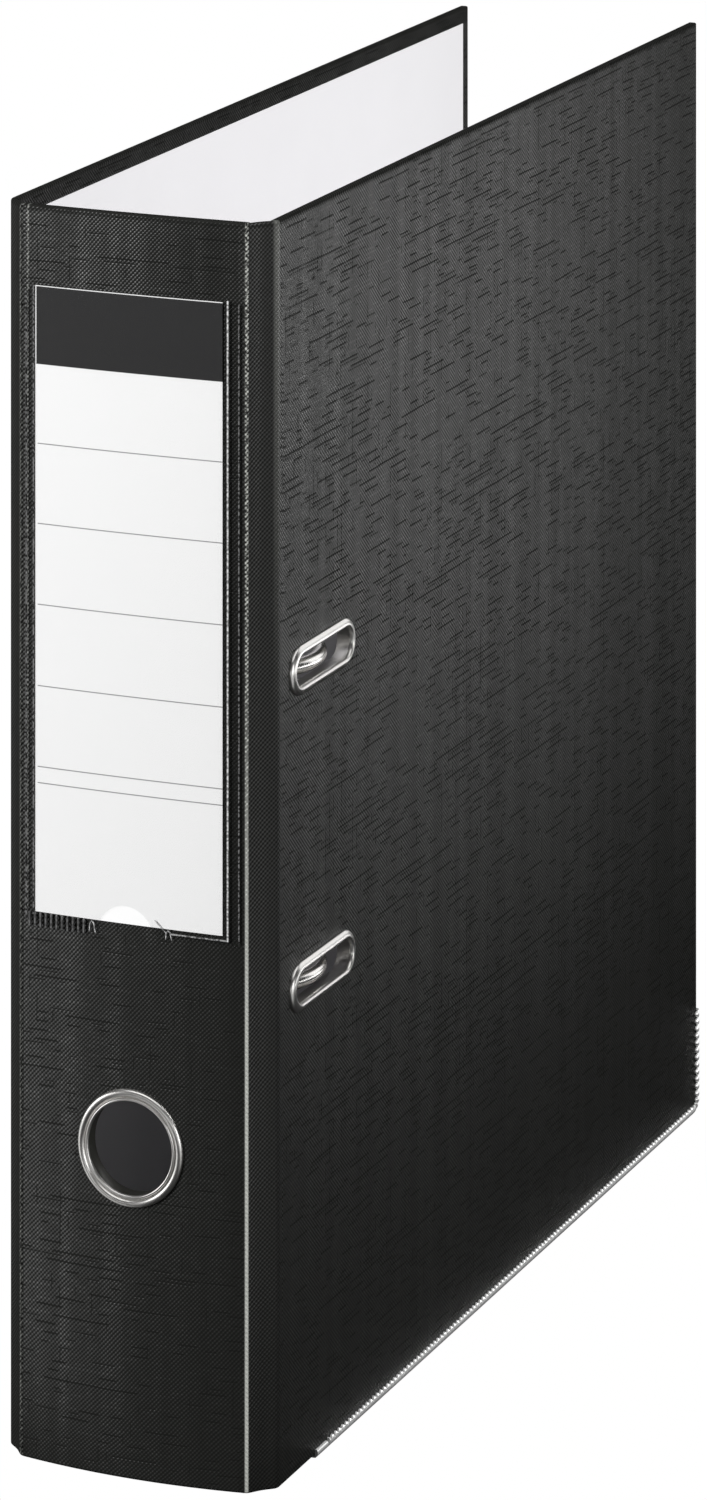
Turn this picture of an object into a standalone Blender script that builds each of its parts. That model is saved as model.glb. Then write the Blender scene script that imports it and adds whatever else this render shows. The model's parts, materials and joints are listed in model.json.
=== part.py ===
"""Lever arch ring binder, A4, standing upright on its bottom edge.

Frame: metres, +Z up.  The spine faces -Y, the front cover is on +X, the back
cover (which carries the mechanism) on -X.  The origin is the middle of the
footprint, at the height of the surface the binder stands on.

Sizes are in millimetres and scaled once, by MM, where vertices are made.
Each panel and the mechanism has a "place" function that turns its own
coordinates into x, y, z.  A depth is measured inwards from a panel's outer
face, a height (h) is measured from the back cover's lining towards +X.
"""
import math

import bmesh
import bpy
from mathutils import Vector

for old in list(bpy.data.objects):
    bpy.data.objects.remove(old, do_unlink=True)

MM = 0.001

# ---------------------------------------------------------------- the case
SPINE_Y = -141.55       # the spine's creases; its middle stands proud by BOW
HALF_SPINE = 31.9       # half the width of the spine panel
STRIP_DX = 6.0          # a hinge strip runs this far sideways ...
STRIP_DY = 5.6          # ... and this far back, from the spine to the cover
COVER_X = HALF_SPINE + STRIP_DX     # outer face of either cover
CREASE_Y = SPINE_Y + STRIP_DY       # crease between strip and cover
FREE_Y = SPINE_Y + 284.9            # free edge of the covers
BOW = 1.0               # the spine is bent outwards by this much in its middle
PANEL_Z = (0.5, 318.5)  # bottom and top edge of the panels
PANEL_T = 2.6           # covered board, outer face to turned-in edge
SKIN = 0.3              # foil covering
PLAY = 0.1              # clearance between board and covering
LIP = 13.0              # how far the covering is turned in over the board
LINING_INSET = 4.5      # the white lining stops this far from the edge
LINING_DEPTH = (2.66, 2.82)
EDGE_GAP = 0.2          # clearance of a panel from its crease line
COVER_SPAN = (CREASE_Y + EDGE_GAP, FREE_Y)
STRIP_T = 0.6           # hinge strip thickness
STRIP_GAP_SPINE, STRIP_GAP_COVER = 0.5, 0.7
CORNER_R = 3.6          # the covers' lower free corners are rounded
THROUGH = (-1.0, 4.5)   # depths between which a cutter passes right through a panel
HOLE_PITCH = 80.0       # ISO 838 spacing

# ---------------------------------------------------------------- spine hardware
RING_Z = 83.5
RING_OUT_R, RING_BORE_R = 14.75, 11.8
RING_TUBE_R = 12.2      # outside of the collar that passes through the panel
RING_HOLE_R = 12.5
LABEL_W, LABEL_X = 51.5, -1.65
LABEL_Z = (139.7, 298.4)
POCKET_HALF_W = 30.0
POCKET_Z = (137.2, 299.1)
POCKET_WELD = 2.2
THUMB_X, THUMB_Z, THUMB_R = -1.4, 136.4, 7.9    # cut-out in the pocket's bottom edge

# ---------------------------------------------------------------- slots in the front
SLOT_Y = SPINE_Y + 30.5
SLOT_Z = (202.5, 202.5 - HOLE_PITCH)
SLOT_HALF = 12.45       # half the straight part
SLOT_OUT_R, SLOT_BORE_R = 6.3, 4.3
SLOT_TUBE_R = 4.8
SLOT_HOLE_R = 5.1

# ---------------------------------------------------------------- metal edge rails
RAIL_T = 0.4
RAIL_PLAY = 0.1
RAIL_LEG = 2.2
RAIL_START_Y = CREASE_Y + 21.0
RAIL_TOP_Z = 29.6

# ---------------------------------------------------------------- the mechanism
MECH_Y = SPINE_Y - 6.0              # the mechanism's own datum along the cover
LINING_X = LINING_DEPTH[1] - COVER_X    # face of the back lining, where h is 0
ARCH_Z = (201.4, 201.4 - HOLE_PITCH)    # the two arches and posts
PLATE_T = 1.0
PLATE_H = 0.3
PLATE_Y = (MECH_Y + 14.0, MECH_Y + 66.0)
PLATE_Z = (80.0, 244.0)
FLOOR = PLATE_H + PLATE_T + 0.15    # parts on the plate stand at this height
SHAFT_Y, SHAFT_H = MECH_Y + 20.5, 5.0
ARCH_R, WIRE_R = 18.0, 2.0
ARCH_CENTRE_H = 50.7                # height of the middle of the half circle
WIRE_BEND_R = 3.2
POST_Y = SHAFT_Y + 2 * ARCH_R
POST_R = 2.5
POST_FOOT_R = 4.4
POST_TOP = ARCH_CENTRE_H - 0.4
CRANK_Y = SHAFT_Y + 17.5
CRANK_Z = (166.0, 190.0)
KEEPER_Z = (196.0, 134.0)
KEEPER_W, KEEPER_FLANGE, KEEPER_SHEET = 5.0, 5.0, 0.9
KEEPER_PLAY = 0.35
SPRING_Y, SPRING_LENGTH = MECH_Y + 50.0, 14.5
SPRING_Z = (182.8, 187.2)
SPRING_RISE, SPRING_T = 0.95, 0.35

LEVER_MID_Y = CRANK_Y               # the lever stands over the crank
LEVER_Y = (LEVER_MID_Y - 6.6, LEVER_MID_Y + 6.6)
LEVER_SHEET = 0.8
CHEEK_Y = (LEVER_MID_Y - 8.0, LEVER_MID_Y + 8.0)
CHEEK_R = 4.2
BRACKET_HALF_FOOT = 5.5
BRACKET_BASE, BRACKET_SHEET = 0.9, 0.8
PIVOT_Z, PIVOT_H = 175.0, 16.4
PIVOT_R, PIVOT_HEAD_R, PIVOT_HOLE_R = 1.5, 2.6, 1.85
ROLLER_ARM, ROLLER_ANGLE = 5.6, math.radians(15.0)
ROLLER_Z = PIVOT_Z + ROLLER_ARM * math.sin(ROLLER_ANGLE)
ROLLER_H = PIVOT_H - ROLLER_ARM * math.cos(ROLLER_ANGLE)
ROLLER_R = 3.6
ROLLER_END_GAP = 1.3
AXLE_R, AXLE_HOLE_R = 0.9, 1.25

RIVET_INSET_Y, RIVET_INSET_Z = 7.0, 8.0     # from the edges of the base plate
RIVETS = [(y, z) for z in (PLATE_Z[1] - RIVET_INSET_Z, PLATE_Z[0] + RIVET_INSET_Z)
          for y in (PLATE_Y[0] + RIVET_INSET_Y, PLATE_Y[1] - RIVET_INSET_Y)]
RIVET_SHANK_R, RIVET_HOLE_R = 1.7, 2.05

BAR_Y = (MECH_Y + 50.0, MECH_Y + 64.0)
BAR_Z = (106.0, 218.0)
BAR_H = (8.0, 9.2)
BAR_HOLE_R = POST_R + 0.35

# Lever seen from its side: (z, h) from the pivot
LEVER_OUTLINE = [
    (-3.8, -2.8), (-2.4, -6.9), (5.4, -6.9), (7.6, -2.8), (10.0, 0.2), (37.0, 1.8), (45.0, 2.9),
    (50.6, 5.2), (50.0, 6.2), (44.6, 3.9), (37.0, 3.0), (5.0, 4.4), (-3.8, 4.4),
]
# The hollow between its flanges, in the same columns
LEVER_HOLLOW = [(-10.0, -11.0), (37.0, -11.0), (37.0, 2.1), (5.0, 3.5), (-10.0, 3.5)]


# ================================================================ materials
def make_material(name, colour, roughness, metallic=0.0):
    mat = bpy.data.materials.new(name)
    mat.use_nodes = True
    bsdf = mat.node_tree.nodes["Principled BSDF"]
    bsdf.inputs["Base Color"].default_value = (*colour, 1.0)
    bsdf.inputs["Roughness"].default_value = roughness
    bsdf.inputs["Metallic"].default_value = metallic
    mat.diffuse_color = (*colour, 1.0)
    return mat


FOIL = make_material("black_linen_foil", colour=(0.018, 0.018, 0.020), roughness=0.55)
BOARD = make_material("grey_board", colour=(0.30, 0.27, 0.23), roughness=0.9)
LINING = make_material("white_lining_paper", colour=(0.83, 0.83, 0.84), roughness=0.6)
LABEL = make_material("label_card", colour=(0.86, 0.86, 0.86), roughness=0.6)
FILM = make_material("clear_film", colour=(0.75, 0.77, 0.78), roughness=0.15)
NICKEL = make_material("nickel_plate", colour=(0.62, 0.62, 0.61), roughness=0.22, metallic=1.0)
STEEL = make_material("sheet_steel", colour=(0.55, 0.55, 0.56), roughness=0.35, metallic=1.0)
PLASTIC = make_material("black_plastic", colour=(0.02, 0.02, 0.02), roughness=0.4)


# ================================================================ places
def upright(x, y, z):
    """Outlines seen from above."""
    return (x, y, z)


def facing_spine(x, z, y):
    """Outlines seen from the spine's side, not bent with it."""
    return (x, y, z)


def on_spine(x, z, depth):
    bow = BOW * (1.0 - (x / HALF_SPINE) ** 2)
    return (x, SPINE_Y + depth - bow, z)


def on_front(y, z, depth):
    return (COVER_X - depth, y, z)


def on_back(y, z, depth):
    return (-COVER_X + depth, y, z)


def on_plate(y, z, h):
    return (LINING_X + h, y, z)


def across_lever(z, h, y):
    """Outlines seen from the side of the lever."""
    return (LINING_X + h, y, z)


def across_shaft(y, h, z):
    """Outlines seen along the shaft."""
    return (LINING_X + h, y, z)


def along_y(centre_z, centre_h):
    """A frame whose axis runs along Y at the given z and h."""
    return lambda z, h, y: (LINING_X + centre_h + h, y, centre_z + z)


# ================================================================ solids
def finish(name, bm, mat, smooth=False):
    bmesh.ops.recalc_face_normals(bm, faces=bm.faces)
    mesh = bpy.data.meshes.new(name)
    bm.to_mesh(mesh)
    bm.free()
    if smooth:
        mesh.shade_smooth()
        mesh.set_sharp_from_angle(angle=math.radians(35.0))
    obj = bpy.data.objects.new(name, mesh)
    bpy.context.collection.objects.link(obj)
    mesh.materials.append(mat)
    return obj


def add_loop(bm, points):
    return [bm.verts.new(Vector(point) * MM) for point in points]


def bridge(bm, first, second):
    for i in range(len(first)):
        j = (i + 1) % len(first)
        bm.faces.new((first[i], first[j], second[j], second[i]))


def skin_loops(name, loops, bm, mat):
    """Join successive loops and close both ends."""
    for first, second in zip(loops, loops[1:]):
        bridge(bm, first, second)
    bm.faces.new(loops[0])
    bm.faces.new(list(reversed(loops[-1])))
    return finish(name, bm, mat, smooth=True)


def prism(name, outline, place, low, high, mat):
    """A flat outline pushed along its place's third coordinate."""
    bm = bmesh.new()
    start, end = [add_loop(bm, [place(a, b, w) for a, b in outline]) for w in (low, high)]
    bm.faces.new(start)
    bm.faces.new(list(reversed(end)))
    for i in range(len(outline)):
        j = (i + 1) % len(outline)
        bm.faces.new((start[i], end[i], end[j], start[j]))
    return finish(name, bm, mat)


def sweep(name, path, profile, place, mat):
    """A closed profile of (offset, w) carried once round the closed loop path(offset)."""
    bm = bmesh.new()
    loops = [add_loop(bm, [place(a, b, w) for a, b in path(offset)]) for offset, w in profile]
    for i, loop in enumerate(loops):
        bridge(bm, loop, loops[(i + 1) % len(loops)])
    return finish(name, bm, mat, smooth=True)


def lathe(name, profile, place, mat, steps):
    """A solid of revolution; profile is a list of (radius, w) from end to end."""
    bm = bmesh.new()
    circle = circle_path(0.0, 0.0, steps)
    loops = [add_loop(bm, [place(a, b, w) for a, b in circle(radius)]) for radius, w in profile]
    return skin_loops(name, loops, bm, mat)


def tube(name, points, radius, mat, sides):
    """A round wire along a list of points, closed at both ends."""
    points = [Vector(point) for point in points]
    bm = bmesh.new()
    tangent = (points[1] - points[0]).normalized()
    normal = tangent.orthogonal().normalized()
    angles = [2 * math.pi * k / sides for k in range(sides)]
    loops = []
    for i, point in enumerate(points):
        before = (point - points[i - 1]).normalized() if i else tangent
        after = (points[i + 1] - point).normalized() if i + 1 < len(points) else before
        heading = (before + after).normalized()
        # Carry the normal along without twist
        normal = tangent.rotation_difference(heading) @ normal
        normal = (normal - heading * normal.dot(heading)).normalized()
        tangent = heading
        side = tangent.cross(normal)
        # Widen the mitre so the wire keeps its thickness round a bend
        reach = radius / max(0.5, math.cos(before.angle(after) / 2))
        loops.append(add_loop(bm, [point + (normal * math.cos(t) + side * math.sin(t)) * reach
                                   for t in angles]))
    return skin_loops(name, loops, bm, mat)


def flat_slab(name, place, along, height, depth, mat):
    """A box given by three (from, to) pairs in a place's coordinates."""
    ends = list(zip(place(along[0], height[0], depth[0]), place(along[1], height[1], depth[1])))
    low, high = [min(pair) for pair in ends], [max(pair) for pair in ends]
    bm = bmesh.new()
    bmesh.ops.create_cube(bm, size=1.0)
    for v in bm.verts:
        v.co = Vector([((low[i] + high[i]) / 2 + v.co[i] * (high[i] - low[i])) * MM
                       for i in range(3)])
    return finish(name, bm, mat)


def bowed_slab(name, place, along, height, depth, mat, steps=12):
    """The same, on the spine: bent with it."""
    xs = [along[0] + (along[1] - along[0]) * k / steps for k in range(steps + 1)]
    section = ([place(x, 0.0, depth[0])[:2] for x in xs]
               + [place(x, 0.0, depth[1])[:2] for x in reversed(xs)])
    return prism(name, section, upright, height[0], height[1], mat)


def cut(obj, *cutters):
    for cutter in cutters:
        cutter.hide_render = True
        cutter.display_type = "WIRE"
        mod = obj.modifiers.new("cut", "BOOLEAN")
        mod.operation = "DIFFERENCE"
        mod.solver = "EXACT"
        mod.object = cutter


# ================================================================ outlines
def circle_path(centre_a, centre_b, steps):
    def path(radius):
        return [(centre_a + radius * math.cos(2 * math.pi * k / steps),
                 centre_b + radius * math.sin(2 * math.pi * k / steps)) for k in range(steps)]
    return path


def slot_path(centre_a, centre_b, half, steps=10):
    """Round-ended slot, long in its first coordinate."""
    def path(radius):
        points = []
        for side in (1, -1):
            for k in range(steps + 1):
                t = -math.pi / 2 + math.pi * k / steps
                points.append((centre_a + side * (half + radius * math.cos(t)),
                               centre_b + side * radius * math.sin(t)))
        return points
    return path


def corner_arc(radius, steps=6):
    """(y, z) round a cover's lower free corner, from the bottom edge to the free edge."""
    centre_y, centre_z = FREE_Y - CORNER_R, PANEL_Z[0] + CORNER_R
    angles = [math.pi / 2 * k / steps for k in range(steps + 1)]
    return [(centre_y + radius * math.sin(t), centre_z - radius * math.cos(t)) for t in angles]


def rounded(corners, radius, steps=5):
    """An open path with each of its inner corners turned with an arc."""
    points = [Vector(c) for c in corners]
    out = [points[0]]
    for previous, corner, following in zip(points, points[1:], points[2:]):
        back, onward = (previous - corner).normalized(), (following - corner).normalized()
        half = back.angle(onward) / 2
        reach = radius / math.tan(half)
        centre = corner + (back + onward).normalized() * (radius / math.sin(half))
        start = (corner + back * reach - centre).normalized()
        end = (corner + onward * reach - centre).normalized()
        turn = math.pi - 2 * half
        for k in range(steps + 1):
            s = k / steps
            spoke = start * math.sin((1 - s) * turn) + end * math.sin(s * turn)
            out.append(centre + spoke.normalized() * radius)
    out.append(points[-1])
    return out


# ================================================================ the case
def panel(prefix, place, along, cutters, slab=flat_slab):
    """Covered board: foil with turned-in edges, board inside it, lining."""
    def inset_slab(name, inset, depth, mat):
        return slab(prefix + name, place, (along[0] + inset, along[1] - inset),
                    (PANEL_Z[0] + inset, PANEL_Z[1] - inset), depth, mat)

    board_inset = SKIN + PLAY
    wrap = inset_slab("_wrap", 0.0, (0.0, PANEL_T), FOIL)
    cut(wrap,
        inset_slab("_cut_inside", SKIN, (SKIN, PANEL_T - SKIN), FOIL),
        inset_slab("_cut_window", LIP, (PANEL_T - SKIN - 0.5, PANEL_T + 1.0), FOIL))
    board = inset_slab("_board", board_inset, (board_inset, PANEL_T - board_inset), BOARD)
    lining = inset_slab("_lining", LINING_INSET, LINING_DEPTH, LINING)
    for obj in (wrap, board, lining):
        cut(obj, *cutters)


def through_cutter(name, outline, place):
    return prism(name, outline, place, *THROUGH, FOIL)


def corner_cutter(name, place):
    """What lies outside a cover's rounded lower free corner."""
    below, beyond = PANEL_Z[0] - 3.0, FREE_Y + 3.0
    outline = ([(FREE_Y - CORNER_R, below)] + corner_arc(CORNER_R)
               + [(beyond, PANEL_Z[0] + CORNER_R), (beyond, below)])
    return through_cutter(name, outline, place)


def build_spine():
    """Spine panel with its finger ring."""
    path = circle_path(0.0, RING_Z, 48)
    hole = prism("cut_ring", path(RING_HOLE_R), facing_spine,
                 SPINE_Y - BOW + THROUGH[0] - 2.0, SPINE_Y - BOW + THROUGH[1] + 2.0, FOIL)
    panel("spine", on_spine, (-HALF_SPINE + EDGE_GAP, HALF_SPINE - EDGE_GAP), [hole], bowed_slab)

    # Profiles: (radius, depth)
    sweep("finger_ring", path,
          [(RING_BORE_R, -0.35), (RING_BORE_R + 0.4, -0.8), (RING_BORE_R + 1.2, -1.2),
           (RING_BORE_R + 2.0, -1.25), (RING_OUT_R - 0.35, -0.75), (RING_OUT_R, -0.1),
           (RING_TUBE_R, -0.1), (RING_TUBE_R, 3.55), (RING_TUBE_R + 1.5, 3.55),
           (RING_TUBE_R + 1.4, 3.85), (RING_BORE_R + 0.2, 3.95), (RING_BORE_R, 3.6)],
          on_spine, NICKEL)
    sweep("finger_ring_backing", path,
          [(RING_TUBE_R + 0.35, 2.95), (RING_OUT_R - 0.6, 2.95), (RING_OUT_R - 0.8, 3.4),
           (RING_TUBE_R + 0.35, 3.4)],
          on_spine, NICKEL)


def build_label():
    """Clear pocket, welded down both sides and along the bottom, with its label."""
    pocket = bowed_slab("label_pocket", on_spine, (-POCKET_HALF_W, POCKET_HALF_W), POCKET_Z,
                        (-0.8, -0.06), FILM, steps=16)
    half_space = POCKET_HALF_W - POCKET_WELD
    # The space runs out past the top edge, which is open
    cut(pocket,
        bowed_slab("cut_pocket_space", on_spine, (-half_space, half_space),
                   (POCKET_Z[0] + POCKET_WELD, POCKET_Z[1] + 5.0), (-0.6, 1.0), FILM, steps=16),
        prism("cut_thumb_moon", circle_path(THUMB_X, THUMB_Z, 28)(THUMB_R), facing_spine,
              SPINE_Y - BOW - 3.0, SPINE_Y + 2.0, FILM))
    bowed_slab("spine_label", on_spine, (LABEL_X - LABEL_W / 2, LABEL_X + LABEL_W / 2), LABEL_Z,
               (-0.42, -0.18), LABEL, steps=16)


def build_hinge_strip(name, side):
    length = math.hypot(STRIP_DX, STRIP_DY)
    dir_x, dir_y = STRIP_DX / length, STRIP_DY / length
    normal_x, normal_y = -dir_y, dir_x      # towards the inside of the case
    start, end = STRIP_GAP_SPINE, length - STRIP_GAP_COVER
    section = [(side * (HALF_SPINE + dir_x * s + normal_x * w), SPINE_Y + dir_y * s + normal_y * w)
               for s, w in ((start, 0.0), (end, 0.0), (end, STRIP_T), (start, STRIP_T))]
    prism(name, section, upright, *PANEL_Z, FOIL)


def build_front():
    """Front cover with two eyeleted slots."""
    paths = [slot_path(SLOT_Y, z, SLOT_HALF) for z in SLOT_Z]
    cutters = [through_cutter("cut_slot_%d" % k, path(SLOT_HOLE_R), on_front)
               for k, path in enumerate(paths)]
    cutters.append(corner_cutter("cut_front_corner", on_front))
    panel("front", on_front, COVER_SPAN, cutters)

    # Profiles: (radius, depth)
    for label, path in zip(("upper", "lower"), paths):
        sweep("slot_eyelet_" + label, path,
              [(SLOT_BORE_R, -0.45), (SLOT_BORE_R + 0.35, -0.8), (SLOT_BORE_R + 1.0, -0.9),
               (SLOT_OUT_R - 0.3, -0.65), (SLOT_OUT_R, -0.1), (SLOT_TUBE_R, -0.1),
               (SLOT_TUBE_R, 3.5), (SLOT_TUBE_R + 1.0, 3.5), (SLOT_TUBE_R + 0.9, 3.75),
               (SLOT_BORE_R, 3.75)],
              on_front, NICKEL)
        sweep("slot_backing_" + label, path,
              [(SLOT_TUBE_R + 0.35, 2.95), (SLOT_OUT_R + 0.2, 2.95), (SLOT_OUT_R, 3.35),
               (SLOT_TUBE_R + 0.35, 3.35)],
              on_front, NICKEL)


def build_back():
    """Back cover, pierced for the mechanism's rivets."""
    cutters = [through_cutter("cut_rivet_%d" % k, circle_path(y, z, 20)(RIVET_HOLE_R), on_back)
               for k, (y, z) in enumerate(RIVETS)]
    cutters.append(corner_cutter("cut_back_corner", on_back))
    panel("back", on_back, COVER_SPAN, cutters)


def build_edge_rail(name, place):
    """Steel channel along a cover's bottom edge and round its lower free corner."""
    space_r = CORNER_R + RAIL_PLAY
    outer_r = space_r + RAIL_T
    inner_r = outer_r - RAIL_LEG
    centre_y, centre_z = FREE_Y - CORNER_R, PANEL_Z[0] + CORNER_R
    outline = ([(RAIL_START_Y, centre_z - outer_r)] + corner_arc(outer_r)
               + [(centre_y + outer_r, RAIL_TOP_Z), (centre_y + inner_r, RAIL_TOP_Z)]
               + corner_arc(inner_r)[::-1] + [(RAIL_START_Y, centre_z - inner_r)])
    # Room for the board, run out past both ends of the rail
    start_y, top_z = RAIL_START_Y - 5.0, RAIL_TOP_Z + 5.0
    space = ([(start_y, centre_z - space_r)] + corner_arc(space_r)
             + [(centre_y + space_r, top_z), (start_y, top_z)])
    rail = prism(name, outline, place, -RAIL_PLAY - RAIL_T, PANEL_T + RAIL_PLAY + RAIL_T, STEEL)
    cut(rail, prism(name + "_cut", space, place, -RAIL_PLAY, PANEL_T + RAIL_PLAY, STEEL))


# ================================================================ the mechanism
def build_rivet(number, rivet_y, rivet_z):
    """A rivet from the cover's outer face to the top of the base plate."""
    plate_top = LINING_DEPTH[1] + PLATE_H + PLATE_T
    # Profile: (radius, depth)
    lathe("mechanism_rivet_%d" % number,
          [(1.6, -0.9), (3.4, -0.75), (4.4, -0.35), (4.5, -0.1), (RIVET_SHANK_R, -0.1),
           (RIVET_SHANK_R, plate_top + 0.15), (3.0, plate_top + 0.15),
           (2.8, plate_top + 0.8), (1.6, plate_top + 1.1)],
          lambda y, z, depth: on_back(rivet_y + y, rivet_z + z, depth), NICKEL, steps=20)


def build_base_plate():
    plate = flat_slab("base_plate", on_plate, PLATE_Y, PLATE_Z, (PLATE_H, PLATE_H + PLATE_T), STEEL)
    for k, (y, z) in enumerate(RIVETS):
        cut(plate, prism("cut_plate_%d" % k, circle_path(y, z, 20)(RIVET_HOLE_R),
                         on_plate, -1.0, 3.0, STEEL))
        build_rivet(k + 1, y, z)


def build_post(label, post_z):
    # Profile: (radius, h)
    lathe("post_" + label,
          [(POST_FOOT_R, FLOOR), (POST_FOOT_R, FLOOR + 0.8), (POST_R, FLOOR + 1.3),
           (POST_R, POST_TOP - 0.5), (POST_R - 0.4, POST_TOP)],
          lambda y, z, h: on_plate(POST_Y + y, post_z + z, h), NICKEL, steps=20)


def build_arch_wire():
    """One wire: an arch, down to the shaft, along it round the crank, up to the other arch."""
    def half_circle(z):
        """From the tip over the post to the shaft's side."""
        angles = [math.pi * k / 18 for k in range(19)]
        return [on_plate(SHAFT_Y + ARCH_R + ARCH_R * math.cos(t), z,
                         ARCH_CENTRE_H + ARCH_R * math.sin(t)) for t in angles]

    upper, lower = ARCH_Z
    leg_top = ARCH_CENTRE_H - 1.0
    corners = [on_plate(y, z, h) for y, z, h in (
        (SHAFT_Y, lower, leg_top), (SHAFT_Y, lower, SHAFT_H),
        (SHAFT_Y, CRANK_Z[0], SHAFT_H), (CRANK_Y, CRANK_Z[0], SHAFT_H),
        (CRANK_Y, CRANK_Z[1], SHAFT_H), (SHAFT_Y, CRANK_Z[1], SHAFT_H),
        (SHAFT_Y, upper, SHAFT_H), (SHAFT_Y, upper, leg_top))]
    points = half_circle(lower) + rounded(corners, WIRE_BEND_R) + half_circle(upper)[::-1]
    tube("arch_wire", points, WIRE_R, NICKEL, sides=12)


def build_shaft_keeper(label, z):
    """A strap of hat section over the shaft."""
    wall = WIRE_R + KEEPER_PLAY
    flange_end = wall + KEEPER_FLANGE
    top = SHAFT_H + WIRE_R + KEEPER_PLAY
    outer_wall = wall + KEEPER_SHEET
    flange_top = FLOOR + KEEPER_SHEET
    outer_top = top + KEEPER_SHEET
    # (y from the shaft, h)
    section = [(-flange_end, FLOOR), (-wall, FLOOR), (-wall, top), (wall, top), (wall, FLOOR),
               (flange_end, FLOOR), (flange_end, flange_top), (outer_wall, flange_top),
               (outer_wall, outer_top), (-outer_wall, outer_top), (-outer_wall, flange_top),
               (-flange_end, flange_top)]
    prism("shaft_keeper_" + label, [(SHAFT_Y + y, h) for y, h in section], across_shaft,
          z - KEEPER_W / 2, z + KEEPER_W / 2, STEEL)


def build_arch_spring():
    """Leaf spring under the crank."""
    under = []
    for k in range(9):
        s = k / 8
        under.append((SPRING_Y - SPRING_LENGTH * s,
                      FLOOR + SPRING_RISE * math.sin(s * math.pi / 2) ** 2))
    section = under + [(y, h + SPRING_T) for y, h in reversed(under)]
    prism("arch_spring", section, across_shaft, *SPRING_Z, STEEL)


def cross_hole(name, centre_z, centre_h, radius, span):
    """A cutter for a pin hole through both walls of a part spanning this range of y."""
    return prism(name, circle_path(centre_z, centre_h, 16)(radius), across_lever,
                 span[0] - 1, span[1] + 1, STEEL)


def build_lever_bracket():
    """Two cheeks on a base, and the pivot pin through them."""
    angles = [math.pi * k / 8 for k in range(9)]
    outline = ([(PIVOT_Z - BRACKET_HALF_FOOT, FLOOR), (PIVOT_Z + BRACKET_HALF_FOOT, FLOOR)]
               + [(PIVOT_Z + CHEEK_R * math.cos(t), PIVOT_H + CHEEK_R * math.sin(t))
                  for t in angles])
    base_top = FLOOR + BRACKET_BASE
    gap = [(PIVOT_Z - 9, base_top), (PIVOT_Z + 9, base_top), (PIVOT_Z + 9, 30.0),
           (PIVOT_Z - 9, 30.0)]
    bracket = prism("lever_bracket", outline, across_lever, *CHEEK_Y, STEEL)
    cut(bracket,
        prism("cut_bracket", gap, across_lever, CHEEK_Y[0] + BRACKET_SHEET,
              CHEEK_Y[1] - BRACKET_SHEET, STEEL),
        cross_hole("cut_bracket_pin", PIVOT_Z, PIVOT_H, PIVOT_HOLE_R, CHEEK_Y))
    # Profile: (radius, y)
    lathe("lever_pivot_pin",
          [(PIVOT_HEAD_R, CHEEK_Y[0] - 1.0), (PIVOT_HEAD_R, CHEEK_Y[0] - 0.3),
           (PIVOT_R, CHEEK_Y[0] - 0.3), (PIVOT_R, CHEEK_Y[1] + 0.3),
           (PIVOT_HEAD_R, CHEEK_Y[1] + 0.3), (PIVOT_HEAD_R, CHEEK_Y[1] + 1.0)],
          along_y(PIVOT_Z, PIVOT_H), NICKEL, steps=16)


def build_lever():
    """Folded sheet lever with a roller between its flanges."""
    outline, hollow = [[(PIVOT_Z + z, PIVOT_H + h) for z, h in points]
                       for points in (LEVER_OUTLINE, LEVER_HOLLOW)]
    lever = prism("lever_arm", outline, across_lever, *LEVER_Y, STEEL)
    cut(lever,
        prism("cut_lever", hollow, across_lever, LEVER_Y[0] + LEVER_SHEET,
              LEVER_Y[1] - LEVER_SHEET, STEEL),
        cross_hole("cut_lever_pivot", PIVOT_Z, PIVOT_H, PIVOT_HOLE_R, LEVER_Y),
        cross_hole("cut_lever_axle", ROLLER_Z, ROLLER_H, AXLE_HOLE_R, LEVER_Y))
    roller_place = along_y(ROLLER_Z, ROLLER_H)
    lathe("roller_axle", [(AXLE_R, LEVER_Y[0] - 0.2), (AXLE_R, LEVER_Y[1] + 0.2)],
          roller_place, NICKEL, steps=16)
    near, far = LEVER_Y[0] + ROLLER_END_GAP, LEVER_Y[1] - ROLLER_END_GAP
    sweep("lever_roller", circle_path(0.0, 0.0, 20),
          [(ROLLER_R, near), (ROLLER_R, far), (AXLE_HOLE_R, far), (AXLE_HOLE_R, near)],
          roller_place, PLASTIC)


def build_compressor():
    """Flat bar threaded on both posts, with a plastic grip round each post."""
    bar = flat_slab("compressor_bar", on_plate, BAR_Y, BAR_Z, BAR_H, STEEL)
    grip_foot, grip_top = BAR_H[1] + 0.15, BAR_H[1] + 6.0
    for k, (label, z) in enumerate(zip(("upper", "lower"), ARCH_Z)):
        path = circle_path(POST_Y, z, 20)
        cut(bar, prism("cut_bar_%d" % k, path(BAR_HOLE_R), on_plate, 5.0, 12.0, STEEL))
        sweep("compressor_grip_" + label, path,
              [(BAR_HOLE_R, grip_foot), (6.0, grip_foot), (6.0, BAR_H[1] + 3.2),
               (4.4, grip_top), (BAR_HOLE_R, grip_top)],
              on_plate, PLASTIC)


# ================================================================ assembly
build_spine()
build_label()
build_hinge_strip("front_hinge_strip", 1)
build_hinge_strip("back_hinge_strip", -1)
build_front()
build_back()
build_edge_rail("front_edge_rail", on_front)
build_edge_rail("back_edge_rail", on_back)

build_base_plate()
for label, arch_z, keeper_z in zip(("upper", "lower"), ARCH_Z, KEEPER_Z):
    build_post(label, arch_z)
    build_shaft_keeper(label, keeper_z)
build_arch_wire()
build_arch_spring()
build_lever_bracket()
build_lever()
build_compressor()
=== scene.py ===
"""Looks for the lever arch ring binder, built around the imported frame."""
import json
import math

import bmesh
import bpy
import numpy as np
from mathutils import Matrix, Vector

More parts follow.
